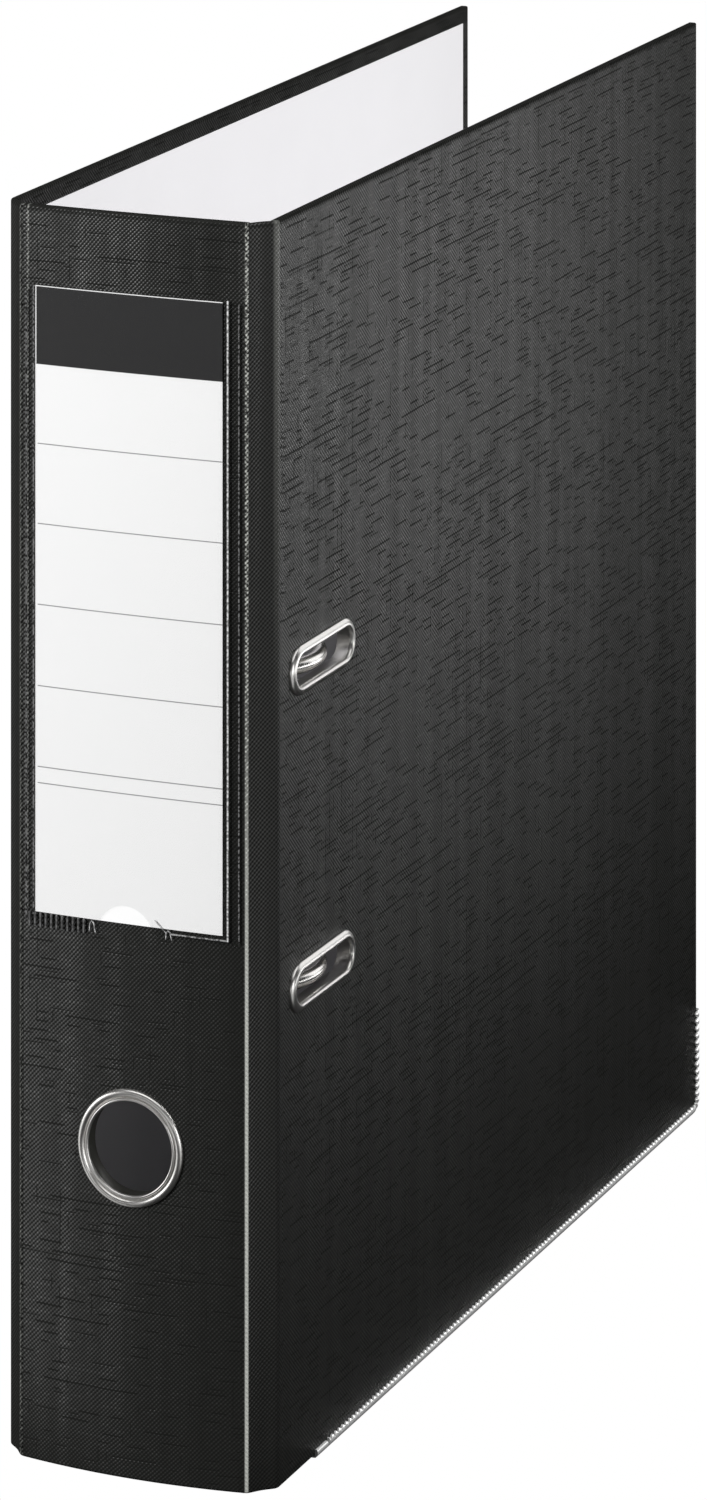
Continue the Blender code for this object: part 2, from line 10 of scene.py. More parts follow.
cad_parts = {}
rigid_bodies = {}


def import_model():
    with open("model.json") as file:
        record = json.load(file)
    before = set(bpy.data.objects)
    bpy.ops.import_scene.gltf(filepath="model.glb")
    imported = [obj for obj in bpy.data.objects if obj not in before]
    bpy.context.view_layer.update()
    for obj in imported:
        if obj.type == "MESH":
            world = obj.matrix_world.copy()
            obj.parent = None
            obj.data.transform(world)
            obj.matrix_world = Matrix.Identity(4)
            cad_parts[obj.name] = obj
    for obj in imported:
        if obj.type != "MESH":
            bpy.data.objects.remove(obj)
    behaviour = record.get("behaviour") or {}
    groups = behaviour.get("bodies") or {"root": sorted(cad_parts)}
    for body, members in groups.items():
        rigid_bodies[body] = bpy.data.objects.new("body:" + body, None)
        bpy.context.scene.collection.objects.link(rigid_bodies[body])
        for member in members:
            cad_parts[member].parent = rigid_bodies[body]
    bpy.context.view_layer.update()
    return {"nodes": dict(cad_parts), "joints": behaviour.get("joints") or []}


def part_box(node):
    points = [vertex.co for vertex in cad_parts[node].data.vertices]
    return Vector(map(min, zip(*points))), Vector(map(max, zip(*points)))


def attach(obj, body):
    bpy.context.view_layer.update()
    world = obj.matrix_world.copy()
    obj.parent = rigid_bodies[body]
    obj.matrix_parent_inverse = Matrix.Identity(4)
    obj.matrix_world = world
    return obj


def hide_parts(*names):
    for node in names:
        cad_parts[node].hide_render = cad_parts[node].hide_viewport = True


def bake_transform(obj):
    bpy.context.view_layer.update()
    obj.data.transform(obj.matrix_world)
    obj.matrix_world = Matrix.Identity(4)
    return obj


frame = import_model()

MM = 0.001
TAU = 2 * math.pi


def mm_box(node):
    lo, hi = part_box(node)
    return [x / MM for x in lo], [x / MM for x in hi]


# ------------------------------------------------------------- measures, from the frame (mm)
sw_lo, sw_hi = mm_box("spine_wrap")
fw_lo, fw_hi = mm_box("front_wrap")
ll_lo, ll_hi = mm_box("front_lining")
joint = {j["name"]: j for j in frame["joints"]}
HS = joint["front_hinge_fold"]["pos_m"][0] / MM          # half spine width, at the crease
YS = joint["front_hinge_fold"]["pos_m"][1] / MM          # the spine's face at its creases
BOW = YS - sw_lo[1]                 # the spine is bent outwards by this much in its middle
T = fw_hi[0] - fw_lo[0]             # covered board thickness
XO = fw_hi[0]                       # outer face of a cover
Z0, Z1 = fw_lo[2], fw_hi[2]
Y_FAR = fw_hi[1]
CORNER_R = 3.6                      # the covers' lower free corners
YC = joint["front_cover_swing"]["pos_m"][1] / MM         # crease on the cover
SL = math.hypot(XO - HS, YC - YS)                        # hinge strip length
W_LIN = XO - ll_lo[0]                                    # lining's inner face, depth in
INSET = fw_hi[2] - ll_hi[2]
EDGE_R = 0.75                        # rounding of foil over the board's edges
SKIN_T = 0.8                         # thickness of the foil pieces over the creases
REACH = 2.4                          # how far those pieces run on to the flat panels


# ------------------------------------------------------------- mesh tools
def mesh_object(name, verts, faces, mats, smooth=True, angle=40.0, uv=None, recalc=True):
    bm = bmesh.new()
    vs = [bm.verts.new((v[0] * MM, v[1] * MM, v[2] * MM)) for v in verts]
    layer = bm.loops.layers.uv.new("UVMap") if uv is not None else None
    for f in faces:
        try:
            face = bm.faces.new([vs[i] for i in f])
        except ValueError:
            continue
        if layer is not None:
            for loop, i in zip(face.loops, f):
                loop[layer].uv = uv[i]
    if recalc:
        bmesh.ops.recalc_face_normals(bm, faces=bm.faces)
    mesh = bpy.data.meshes.new(name)
    bm.to_mesh(mesh)
    bm.free()
    obj = bpy.data.objects.new(name, mesh)
    bpy.context.collection.objects.link(obj)
    for m in (mats if isinstance(mats, (list, tuple)) else [mats]):
        mesh.materials.append(m)
    if smooth:
        mesh.shade_smooth()
        mesh.set_sharp_from_angle(angle=math.radians(angle))
    return obj


def loft(name, rings, mats, closed=False, uv=None, **kw):
    """rings: a list of closed loops with the same number of points."""
    n, m = len(rings), len(rings[0])
    verts = [p for r in rings for p in r]
    faces = []
    for i in range(n if closed else n - 1):
        j = (i + 1) % n
        for k in range(m):
            l = (k + 1) % m
            faces.append((i * m + k, i * m + l, j * m + l, j * m + k))
    if not closed:
        faces.append(tuple(range(m)))
        faces.append(tuple(range((n - 1) * m, n * m))[::-1])
    return mesh_object(name, verts, faces, mats, uv=uv, **kw)


def box_mesh(name, lo, hi, mats, bevel=0.0, segments=2):
    bm = bmesh.new()
    bmesh.ops.create_cube(bm, size=1.0)
    for v in bm.verts:
        v.co = Vector([((lo[i] + hi[i]) / 2 + v.co[i] * (hi[i] - lo[i])) * MM for i in range(3)])
    if bevel:
        bmesh.ops.bevel(bm, geom=bm.edges[:], offset=bevel * MM, segments=segments, affect="EDGES", profile=0.5)
    bmesh.ops.recalc_face_normals(bm, faces=bm.faces)
    mesh = bpy.data.meshes.new(name)
    bm.to_mesh(mesh)
    bm.free()
    obj = bpy.data.objects.new(name, mesh)
    bpy.context.collection.objects.link(obj)
    for m in (mats if isinstance(mats, (list, tuple)) else [mats]):
        mesh.materials.append(m)
    mesh.shade_smooth()
    mesh.set_sharp_from_angle(angle=math.radians(40))
    return obj


def carve(obj, cutters, op="DIFFERENCE", angle=40.0):
    """Boolean with the cutters, applied, and the cutters removed."""
    for c in cutters:
        m = obj.modifiers.new("cut", "BOOLEAN")
        m.operation, m.solver, m.object = op, "EXACT", c
    bpy.context.view_layer.update()
    deps = bpy.context.evaluated_depsgraph_get()
    mesh = bpy.data.meshes.new_from_object(obj.evaluated_get(deps))
    old = obj.data
    obj.modifiers.clear()
    obj.data = mesh
    mesh.name = obj.name
    bpy.data.meshes.remove(old)
    for c in cutters:
        data = c.data
        bpy.data.objects.remove(c, do_unlink=True)
        bpy.data.meshes.remove(data)
    mesh.shade_smooth()
    mesh.set_sharp_from_angle(angle=math.radians(angle))
    return obj


def weighted(obj):
    m = obj.modifiers.new("normals", "WEIGHTED_NORMAL")
    m.keep_sharp = True
    m.weight = 100
    return obj


def prism(name, outline, place, low, high, mats, **kw):
    rings = [[place(a, b, w) for a, b in outline] for w in (low, high)]
    return loft(name, rings, mats, **kw)


def sweep(name, path, profile, place, mats, **kw):
    """A closed profile (r, w) taken round a closed path; path(r) gives the loop."""
    rings = [[place(a, b, w) for a, b in path(r)] for r, w in profile]
    return loft(name, rings, mats, closed=True, **kw)


def lathe(name, profile, place, mats, steps=48, **kw):
    rings = [[place(r * math.cos(TAU * k / steps), r * math.sin(TAU * k / steps), w) for k in range(steps)]
             for r, w in profile]
    return loft(name, rings, mats, **kw)


def circle(ca, cb, steps=72):
    return lambda r: [(ca + r * math.cos(TAU * k / steps), cb + r * math.sin(TAU * k / steps)) for k in range(steps)]


def slot(ca, cb, half, steps=18):
    def path(r):
        pts = []
        for side in (1, -1):
            for k in range(steps + 1):
                t = -math.pi / 2 + math.pi * k / steps
                pts.append((ca + side * (half + r * math.cos(t)), cb + side * r * math.sin(t)))
        return pts
    return path


def tube(name, points, radius, mats, sides=20, cap_round=0.0, **kw):
    pts = [Vector(p) for p in points]
    tangent = (pts[1] - pts[0]).normalized()
    normal = tangent.orthogonal().normalized()
    rings = []
    n = len(pts)
    for i, p in enumerate(pts):
        before = (p - pts[i - 1]).normalized() if i else (pts[1] - p).normalized()
        after = (pts[i + 1] - p).normalized() if i + 1 < n else before
        new = (before + after).normalized()
        normal = tangent.rotation_difference(new) @ normal
        normal = (normal - new * normal.dot(new)).normalized()
        tangent = new
        side = tangent.cross(normal)
        r = radius(i, n) if callable(radius) else radius
        rings.append([p + (normal * math.cos(t) + side * math.sin(t)) * r
                      for t in (TAU * k / sides for k in range(sides))])
    return loft(name, rings, mats, **kw)


def fillet(corners, radius, steps=8):
    pts = [Vector(c) for c in corners]
    out = [pts[0]]
    for a, b, c in zip(pts, pts[1:], pts[2:]):
        u, v = (a - b).normalized(), (c - b).normalized()
        half = u.angle(v) / 2
        reach = radius / math.tan(half)
        centre = b + (u + v).normalized() * (radius / math.sin(half))
        p, q = b + u * reach, b + v * reach
        for k in range(steps + 1):
            s = k / steps
            d = ((p - centre).normalized() * math.sin((1 - s) * (math.pi - 2 * half))
                 + (q - centre).normalized() * math.sin(s * (math.pi - 2 * half)))
            out.append(centre + d.normalized() * radius)
    out.append(pts[-1])
    return out


def arc(ca, cb, r, t0, t1, n):
    return [(ca + r * math.cos(math.radians(t0 + (t1 - t0) * k / n)),
             cb + r * math.sin(math.radians(t0 + (t1 - t0) * k / n))) for k in range(n + 1)]


def bow(a, z=160.0):
    """How far the spine stands out: a little all the way up, more towards its free bottom edge."""
    if abs(a) > HS:
        return 0.0
    return BOW * (0.65 + 1.95 * math.exp(-(z / 75.0) ** 2)) * (1.0 - (a / HS) ** 2)


def on_spine(a, b, w):
    return (a, YS + w - bow(a, b), b)


LEVELS = [12.0, 26.0, 42.0, 60.0, 80.0, 102.0, 130.0, 165.0, 210.0, 265.0]


def on_front(a, b, w):
    return (XO - w, a, b)


def on_back(a, b, w):
    return (-XO + w, a, b)


def bowed_slab(name, a, b, w, mats, steps=24, **kw):
    """A sheet lying on the bent spine: a, b, w are (low, high) along, up and in."""
    xs = [a[0] + (a[1] - a[0]) * k / steps for k in range(steps + 1)]
    outline = [(x, w[0]) for x in xs] + [(x, w[1]) for x in reversed(xs)]
    zs = [b[0]] + [z for z in LEVELS if b[0] + 4 < z < b[1] - 4] + [b[1]]
    rings = [[on_spine(x, z, d) for x, d in outline] for z in zs]
    return loft(name, rings, mats, **kw)


def joined(name, parts):
    """One object out of several."""
    bm = bmesh.new()
    mats = []
    for o in parts:
        for m in o.data.materials:
            if m not in mats:
                mats.append(m)
    for o in parts:
        start = len(bm.faces)
        bm.from_mesh(o.data)
        bm.faces.ensure_lookup_table()
        for f in bm.faces[start:]:
            f.material_index = mats.index(o.data.materials[f.material_index])
    mesh = bpy.data.meshes.new(name)
    bm.to_mesh(mesh)
    bm.free()
    for m in mats:
        mesh.materials.append(m)
    for o in parts:
        data = o.data
        bpy.data.objects.remove(o, do_unlink=True)
        bpy.data.meshes.remove(data)
    obj = bpy.data.objects.new(name, mesh)
    bpy.context.collection.objects.link(obj)
    return obj


# ------------------------------------------------------------- materials
class Graph:
    def __init__(self, name):
        self.mat = bpy.data.materials.new(name)
        self.mat.use_nodes = True
        self.nt = self.mat.node_tree
        self.bsdf = self.nt.nodes["Principled BSDF"]
        self.out = self.nt.nodes["Material Output"]

    def put(self, socket, value):
        if hasattr(value, "is_output"):
            self.nt.links.new(value, socket)
        elif isinstance(value, (tuple, list)) and len(value) == 3 and len(socket.default_value) == 4:
            socket.default_value = (*value, 1.0)
        else:
            socket.default_value = value

    def set(self, **kw):
        names = {"color": "Base Color", "rough": "Roughness", "metal": "Metallic", "spec": "Specular IOR Level",
                 "normal": "Normal", "alpha": "Alpha", "coat": "Coat Weight", "coat_rough": "Coat Roughness",
                 "aniso": "Anisotropic", "sheen": "Sheen Weight", "ior": "IOR", "transmission": "Transmission Weight"}
        for k, v in kw.items():
            self.put(self.bsdf.inputs[names[k]], v)
        return self

    def node(self, kind, **inputs):
        n = self.nt.nodes.new(kind)
        for k, v in inputs.items():
            self.put(n.inputs[k], v)
        return n

    def m(self, op, a, b=0.0, c=0.0):
        n = self.nt.nodes.new("ShaderNodeMath")
        n.operation = op
        for i, v in enumerate((a, b, c)):
            self.put(n.inputs[i], v)
        return n.outputs[0]

    def uv(self):
        s = self.nt.nodes.new("ShaderNodeSeparateXYZ")
        u = self.nt.nodes.new("ShaderNodeUVMap")
        u.uv_map = "UVMap"
        self.nt.links.new(u.outputs[0], s.inputs[0])
        return s.outputs[0], s.outputs[1]

    def object_mm(self):
        s = self.nt.nodes.new("ShaderNodeSeparateXYZ")
        u = self.nt.nodes.new("ShaderNodeTexCoord")
        v = self.nt.nodes.new("ShaderNodeVectorMath")
        v.operation = "SCALE"
        v.inputs["Scale"].default_value = 1000.0
        self.nt.links.new(u.outputs["Object"], v.inputs[0])
        self.nt.links.new(v.outputs[0], s.inputs[0])
        return s.outputs[0], s.outputs[1], s.outputs[2]

    def vec(self, x, y=0.0, z=0.0):
        n = self.nt.nodes.new("ShaderNodeCombineXYZ")
        for i, v in enumerate((x, y, z)):
            self.put(n.inputs[i], v)
        return n.outputs[0]

    def noise(self, vector, scale=1.0, detail=2.0, rough=0.5):
        n = self.nt.nodes.new("ShaderNodeTexNoise")
        self.nt.links.new(vector, n.inputs["Vector"])
        n.inputs["Scale"].default_value = scale
        n.inputs["Detail"].default_value = detail
        n.inputs["Roughness"].default_value = rough
        return n.outputs["Fac"]

    def step(self, x, a, b):
        """0 below a, 1 above b, smooth in between."""
        n = self.nt.nodes.new("ShaderNodeMapRange")
        n.interpolation_type = "SMOOTHSTEP"
        n.inputs["From Min"].default_value = a
        n.inputs["From Max"].default_value = b
        self.put(n.inputs["Value"], x)
        return n.outputs[0]

    def mix(self, fac, a, b):
        n = self.nt.nodes.new("ShaderNodeMix")
        n.data_type = "RGBA"
        n.clamp_factor = True
        self.put(n.inputs[0], fac)
        self.put(n.inputs[6], a)
        self.put(n.inputs[7], b)
        return n.outputs[2]

    def grey(self, x):
        n = self.nt.nodes.new("ShaderNodeCombineColor")
        for i in range(3):
            self.put(n.inputs[i], x)
        return n.outputs[0]

    def bump(self, height, distance_mm, strength=1.0, normal=None):
        n = self.nt.nodes.new("ShaderNodeBump")
        n.inputs["Distance"].default_value = distance_mm * MM
        n.inputs["Strength"].default_value = strength
        self.nt.links.new(height, n.inputs["Height"])
        if normal is not None:
            self.nt.links.new(normal, n.inputs["Normal"])
        return n.outputs[0]


WEAVE = 1.15        # two threads, mm
FOIL_BASE = 0.0118  # black of the foil itself, without its gloss


def foil_material():
    """Black linen-embossed foil.  UVs are millimetres on the foil: u round the case, v up."""
    g = Graph("black_linen_foil")
    u, v = g.uv()
    wob = g.noise(g.vec(g.m("MULTIPLY", u, 0.05), g.m("MULTIPLY", v, 0.05)), 1.0, 1.0)
    uu = g.m("ADD", u, g.m("MULTIPLY", wob, 0.9))
    vv = g.m("ADD", v, g.m("MULTIPLY", wob, -0.7))
    pu, pv = g.m("MULTIPLY", uu, TAU / WEAVE), g.m("MULTIPLY", vv, TAU / WEAVE)
    up = g.m("COSINE", g.m("SUBTRACT", pu, pv))
    down = g.m("COSINE", g.m("ADD", pu, pv))
    weave = g.m("ADD", g.m("MULTIPLY_ADD", up, 0.78, 0.5), g.m("MULTIPLY", down, -0.42))
    region = g.noise(g.vec(g.m("MULTIPLY", u, 0.022), g.m("MULTIPLY", v, 0.03), 3.0), 1.0, 1.0)
    lean = g.m("MULTIPLY", g.m("SUBTRACT", region, 0.5), 0.30)
    lean = g.m("ADD", lean, g.m("MULTIPLY_ADD", g.step(g.m("ABSOLUTE", u), HS, HS + 30.0), 0.05, -0.045))
    strip = g.m("MULTIPLY", g.step(g.m("ABSOLUTE", u), HS - 0.4, HS), g.m("SUBTRACT", 1.0, g.step(g.m("ABSOLUTE", u), HS + SL, HS + SL + 1.0)))
    lean = g.m("MULTIPLY_ADD", strip, -0.5, lean)       # hardly any on the strips over the hinges

    def threads(across, along, pitch, seed, grain, a, b, thick):
        """Dashes on single threads: thin and straight, at random along each thread."""
        row = g.m("FLOOR", g.m("DIVIDE", across, pitch))
        local = g.m("ABSOLUTE", g.m("SUBTRACT", g.m("FRACT", g.m("DIVIDE", across, pitch)), 0.5))
        line = g.m("SUBTRACT", 1.0, g.step(local, thick, thick + 0.07))
        n = g.noise(g.vec(g.m("MULTIPLY", along, grain), g.m("MULTIPLY_ADD", row, 3.71, seed), seed), 1.0, 0.0)
        return g.m("MULTIPLY", line, g.step(g.m("ADD", n, lean), a, b))

    dark = threads(vv, uu, WEAVE * 2.0, 11.0, 0.11, 0.53, 0.57, 0.07)
    dark2 = threads(g.m("ADD", vv, WEAVE * 0.8), uu, WEAVE * 2.0, 53.0, 0.15, 0.60, 0.64, 0.06)
    upright = threads(uu, vv, WEAVE * 2.0, 29.0, 0.12, 0.62, 0.66, 0.05)
    pale = threads(g.m("ADD", vv, WEAVE * 0.25), uu, WEAVE, 71.0, 0.24, 0.50, 0.58, 0.16)
    bands = g.noise(g.vec(g.m("MULTIPLY", u, 0.17), g.m("MULTIPLY", v, 0.004), 5.0), 1.0, 1.0)
    bands = g.step(bands, 0.30, 0.72)
    cloud = g.noise(g.vec(g.m("MULTIPLY", u, 0.30), g.m("MULTIPLY", v, 0.30), 2.0), 1.0, 2.0)
    depth = g.m("MULTIPLY_ADD", bands, 0.9, 1.1)
    light = g.m("MAXIMUM", g.m("MULTIPLY_ADD", g.m("SUBTRACT", weave, 0.5), depth, 1.0), 0.08)
    light = g.m("MULTIPLY", light, g.m("MULTIPLY_ADD", bands, 0.44, 0.77))
    light = g.m("MULTIPLY", light, g.m("MULTIPLY_ADD", cloud, 0.35, 0.82))
    light = g.m("MULTIPLY", light, g.m("MULTIPLY_ADD", pale, 0.45, 0.80))
    light = g.m("MULTIPLY", light, g.m("MULTIPLY_ADD", dark, -0.85, 1.0))
    light = g.m("MULTIPLY", light, g.m("MULTIPLY_ADD", dark2, -0.72, 1.0))
    light = g.m("MULTIPLY", light, g.m("MULTIPLY_ADD", upright, -0.6, 1.0))

    # painted highlight: bright lines along the creases, added to the foil's base colour where the folds would catch
    # the light
    highlight_dots = g.noise(g.vec(g.m("MULTIPLY", u, 1.3), g.m("MULTIPLY", v, 1.0), 13.0), 1.0, 1.0)
    highlight_dots = g.m("MULTIPLY", g.step(highlight_dots, 0.34, 0.62), g.m("MULTIPLY_ADD", weave, 0.8, 0.5))

    def fold(c, half, soft):
        return g.m("SUBTRACT", 1.0, g.step(g.m("ABSOLUTE", g.m("SUBTRACT", u, c)), half, half + soft))

    solid = g.m("SUBTRACT", 1.0, g.step(v, 110.0, 230.0))
    crease_highlight = g.m("MAXIMUM", g.m("MULTIPLY", highlight_dots, 0.62), g.m("MULTIPLY", solid, 0.85))
    white = g.m("MULTIPLY", fold(HS - 0.10, 0.20, 0.42), g.m("MULTIPLY", crease_highlight, 0.52))
    faint = g.m("MULTIPLY", fold(-HS + 0.10, 0.25, 0.55), g.m("MULTIPLY", highlight_dots, 0.15))
    second = g.m("MULTIPLY", fold(-HS + 2.2, 0.10, 0.35),
                 g.m("MULTIPLY", g.m("MULTIPLY", highlight_dots, g.step(v, 130.0, 150.0)), 0.16))
    # painted highlight along the cover's crease, brighter towards the top
    top = g.m("MULTIPLY", fold(HS + SL - 0.2, 0.35, 1.1), g.m("MULTIPLY", g.step(v, 170.0, 330.0), 0.075))
    white = g.m("ADD", g.m("ADD", white, second), g.m("ADD", faint, top))
    base = g.m("ADD", g.m("MULTIPLY_ADD", light, 0.0020, FOIL_BASE), white)
    height = g.m("ADD", weave, g.m("MULTIPLY", g.m("ADD", dark, g.m("ADD", dark2, upright)), -0.8))
    # the foil is rounder over the spine than its board: it turns a little more light aside
    on = g.m("SUBTRACT", 1.0, g.step(g.m("ABSOLUTE", u), HS - 1.0, HS + 0.5))
    swell = g.bump(g.m("MULTIPLY", on, g.m("MULTIPLY", g.m("MULTIPLY", u, u), -1.6 / HS ** 2)), 1.0, 1.0)
    # painted sheen: the gloss falls off a little towards the front edge of the spine and the free edges of the covers,
    # standing in for the light falling off there
    painted_sheen_falloff = g.m("MULTIPLY", g.m("MULTIPLY_ADD", g.m("MULTIPLY", on, g.step(u, -22.0, 28.0)), -0.75, 1.0),
               g.m("MULTIPLY_ADD", g.step(g.m("ABSOLUTE", u), 120.0, 335.0), -0.80, 1.0))
    tint = g.nt.nodes.new("ShaderNodeCombineColor")
    for i, k in enumerate((1.0, 1.02, 0.95)):
        g.put(tint.inputs[i], g.m("MULTIPLY", base, k))
    # painted shade: the gloss is also turned down along the foil's top edge, so that the edge catches no highlight
    # there
    g.set(color=tint.outputs[0], rough=g.m("MULTIPLY_ADD", cloud, 0.06, 0.33),
          spec=g.m("MULTIPLY", g.m("MULTIPLY", g.m("MULTIPLY", light, 0.5), painted_sheen_falloff),
                   g.m("MULTIPLY_ADD", g.step(v, Z1 - 0.9, Z1 - 0.1), -0.75, 1.0)),
          normal=g.bump(height, 0.06, 0.6, swell))
    return g.mat


def paper_material(name, colour, rough=0.55, inner=0.50):
    """White paper; what it sends on inside the case is held back, so that the depth of it stays dark."""
    g = Graph(name)
    x, y, z = g.object_mm()
    p = g.vec(x, y, z)
    fibre = g.noise(p, 2.2, 4.0, 0.6)
    mottle = g.noise(p, 0.05, 2.0)
    k = g.m("MULTIPLY_ADD", mottle, 0.03, 0.985)
    path = g.nt.nodes.new("ShaderNodeLightPath")
    k = g.m("MULTIPLY", k, g.m("MULTIPLY_ADD", path.outputs["Is Diffuse Ray"], inner - 1.0, 1.0))
    n = g.nt.nodes.new("ShaderNodeVectorMath")
    n.operation = "SCALE"
    n.inputs[0].default_value = colour
    g.nt.links.new(k, n.inputs["Scale"])
    g.set(color=n.outputs[0], rough=rough, spec=0.35, normal=g.bump(fibre, 0.03, 0.35))
    return g.mat


def board_material():
    g = Graph("grey_board")
    x, y, z = g.object_mm()
    fibre = g.noise(g.vec(x, y, z), 1.6, 5.0, 0.65)
    g.set(color=g.mix(fibre, (0.22, 0.19, 0.16), (0.42, 0.38, 0.33)), rough=0.9, normal=g.bump(fibre, 0.1, 0.6))
    return g.mat


def metal_material(name, colour, rough, scratch=0.05, brushed=None, bump=0.0, metal=1.0):
    g = Graph(name)
    x, y, z = g.object_mm()
    if brushed == "y":
        p = g.vec(g.m("MULTIPLY", x, 6.0), g.m("MULTIPLY", y, 0.15), g.m("MULTIPLY", z, 6.0))
    elif brushed == "z":
        p = g.vec(g.m("MULTIPLY", x, 6.0), g.m("MULTIPLY", y, 6.0), g.m("MULTIPLY", z, 0.15))
    else:
        p = g.vec(x, y, z)
    n = g.noise(p, 1.0, 3.0, 0.6)
    smear = g.noise(g.vec(x, y, z), 0.12, 3.0, 0.6)
    r = g.m("ADD", g.m("MULTIPLY_ADD", n, scratch, rough - scratch * 0.5), g.m("MULTIPLY_ADD", smear, 0.08, -0.04))
    g.set(color=g.mix(smear, tuple(c * 0.92 for c in colour), colour), metal=metal, rough=r)
    if bump:
        g.set(normal=g.bump(n, bump, 0.6))
    return g.mat


def plastic_material(name="black_plastic", colour=(0.012, 0.012, 0.013)):
    g = Graph(name)
    x, y, z = g.object_mm()
    n = g.noise(g.vec(x, y, z), 3.0, 3.0)
    g.set(color=colour, rough=g.m("MULTIPLY_ADD", n, 0.12, 0.3), spec=0.5, normal=g.bump(n, 0.02, 0.4))
    return g.mat


def film_material():
    """Clear soft film: seen through, with a thin gloss and faint handling haze."""
    g = Graph("clear_film")
    x, y, z = g.object_mm()
    n = g.noise(g.vec(x, y, z), 0.09, 3.0)
    ripple = g.noise(g.vec(x, y, g.m("MULTIPLY", z, 0.4)), 0.06, 2.0)
    clear = g.node("ShaderNodeBsdfTransparent", Color=(0.965, 0.965, 0.965, 1.0))
    gloss = g.node("ShaderNodeBsdfGlossy", Color=(1, 1, 1, 1))
    g.put(gloss.inputs["Roughness"], g.m("MULTIPLY_ADD", n, 0.10, 0.10))
    g.put(gloss.inputs["Normal"], g.bump(ripple, 0.8, 0.25))
    fres = g.node("ShaderNodeFresnel", IOR=1.45)
    mix = g.nt.nodes.new("ShaderNodeMixShader")
    g.nt.links.new(g.m("MULTIPLY", fres.outputs[0], 0.12), mix.inputs[0])
    g.nt.links.new(clear.outputs[0], mix.inputs[1])
    g.nt.links.new(gloss.outputs[0], mix.inputs[2])
    g.nt.links.new(mix.outputs[0], g.out.inputs["Surface"])
    return g.mat


def bead_material(name, level, broken):
    """The welded edges of the film: thin beads of clear plastic, coloured grey as a painted highlight, bright here and
    there.
    """
    g = Graph(name)
    x, y, z = g.object_mm()
    n = g.noise(g.vec(x, 0.0, g.m("MULTIPLY", z, 1.1)), 1.0, 1.0)
    k = g.m("MULTIPLY_ADD", g.step(n, 0.40, 0.58), 0.55 + 0.45 * broken, 0.45 - 0.40 * broken)
    g.set(color=g.grey(g.m("MULTIPLY", k, level)), rough=0.3, spec=0.35)
    return g.mat


def label_material(x0, x1, z0, z1):
    """White card: dark header band with a thin white margin, and thin grey rules."""
    g = Graph("label_card")
    x, y, z = g.object_mm()
    down = g.m("SUBTRACT", z1, z)
    left = g.m("SUBTRACT", x, x0)
    fibre = g.noise(g.vec(x, y, z), 2.5, 3.0)
    head = g.m("MULTIPLY", g.step(down, 0.16, 0.20), g.m("SUBTRACT", 1.0, g.step(down, 19.85, 19.95)))
    head = g.m("MULTIPLY", head, g.step(left, 0.34, 0.40))
    rules = None
    for d in (40.0, 60.3, 80.8, 101.4, 121.9, 126.0):
        r = g.m("SUBTRACT", 1.0, g.step(g.m("ABSOLUTE", g.m("SUBTRACT", down, d)), 0.11, 0.17))
        rules = r if rules is None else g.m("MAXIMUM", rules, r)
    rules = g.m("MULTIPLY", rules, g.step(left, 0.7, 0.8))
    paper = g.mix(g.m("MULTIPLY", rules, 0.9), (0.90, 0.90, 0.90), (0.22, 0.225, 0.225))
    colour = g.mix(head, paper, (0.0125, 0.0125, 0.013))
    g.set(color=colour, rough=0.6, spec=0.3, normal=g.bump(fibre, 0.01, 0.3))
    return g.mat


FOIL = foil_material()
BOARD = board_material()
LINING = paper_material("white_lining_paper", (0.945, 0.935, 0.955))
NICKEL = metal_material("nickel_plate", (0.84, 0.825, 0.80), 0.25, 0.05)
NICKEL_RING = metal_material("nickel_ring", (0.90, 0.885, 0.86), 0.32, 0.05)
NICKEL_SOFT = metal_material("nickel_satin", (0.72, 0.71, 0.69), 0.30, 0.08, bump=0.01)
STEEL = metal_material("sheet_steel", (0.70, 0.70, 0.70), 0.26, 0.14, "z", 0.01)
RAIL = metal_material("rail_steel", (0.90, 0.90, 0.895), 0.38, 0.10, "y", 0.01, metal=0.55)
PLASTIC = plastic_material()
# the sleeve's dark colour is painted shade in the bore of the finger hole
SLEEVE_PAINTED_SHADE = plastic_material("finger_hole_painted_shade", (0.060, 0.060, 0.050))
FILM = film_material()


# ------------------------------------------------------------- foil-covered boards
def edge_profile(depth_out, thick, levels=(), r=EDGE_R, steps=4):
    """(w, z, v) round a panel's section, from the outer face over the top and back: the foil
    turns over the board's edges on a small radius.  v runs along the foil, for the weave."""
    pts = []
    q = math.pi / 2
    o, i = depth_out, thick
    rr = r if o < 0.01 else 0.02
    for k in range(steps + 1):       # outer bottom
        t = k / steps * q
        pts.append((o + rr * (1 - math.sin(t)), Z0 + rr * (1 - math.cos(t)), Z0 - rr * (1 - t / q)))
    pts += [(o, z, z) for z in levels]
    for k in range(steps + 1):       # outer top
        t = k / steps * q
        pts.append((o + rr * (1 - math.cos(t)), Z1 - rr * (1 - math.sin(t)), Z1 + rr * (t / q)))
    for k in range(steps + 1):       # inner top
        t = k / steps * q
        pts.append((i - r * (1 - math.sin(t)), Z1 - r * (1 - math.cos(t)), Z1 + i + r * (t / q)))
    pts += [(i, z, Z1 + i + r + Z1 - z) for z in reversed(levels)]
    for k in range(steps + 1):       # inner bottom
        t = k / steps * q
        pts.append((i - r * (1 - math.cos(t)), Z0 + r * (1 - math.sin(t)), Z0 - i - r * (1 - t / q)))
    return pts


def covered_board(name, place, stations, s_of):
    """stations: (a, depth of outer face, inner depth) along the panel."""
    rings, uv = [], []
    for a, wo, wi in stations:
        ring = []
        for w, z, v in edge_profile(wo, wi, LEVELS):
            ring.append(place(a, z, w))
            uv.append((s_of(a), v))
        rings.append(ring)
    return loft(name, rings, FOIL, uv=uv, angle=50)


def far_edge(a_end, r=EDGE_R, steps=5):
    """Stations that round a free edge: the section gets thinner towards the end."""
    out = []
    for k in range(steps + 1):
        t = k / steps * math.pi / 2
        out.append((a_end - r + r * math.sin(t), r * (1 - math.cos(t))))
    return out


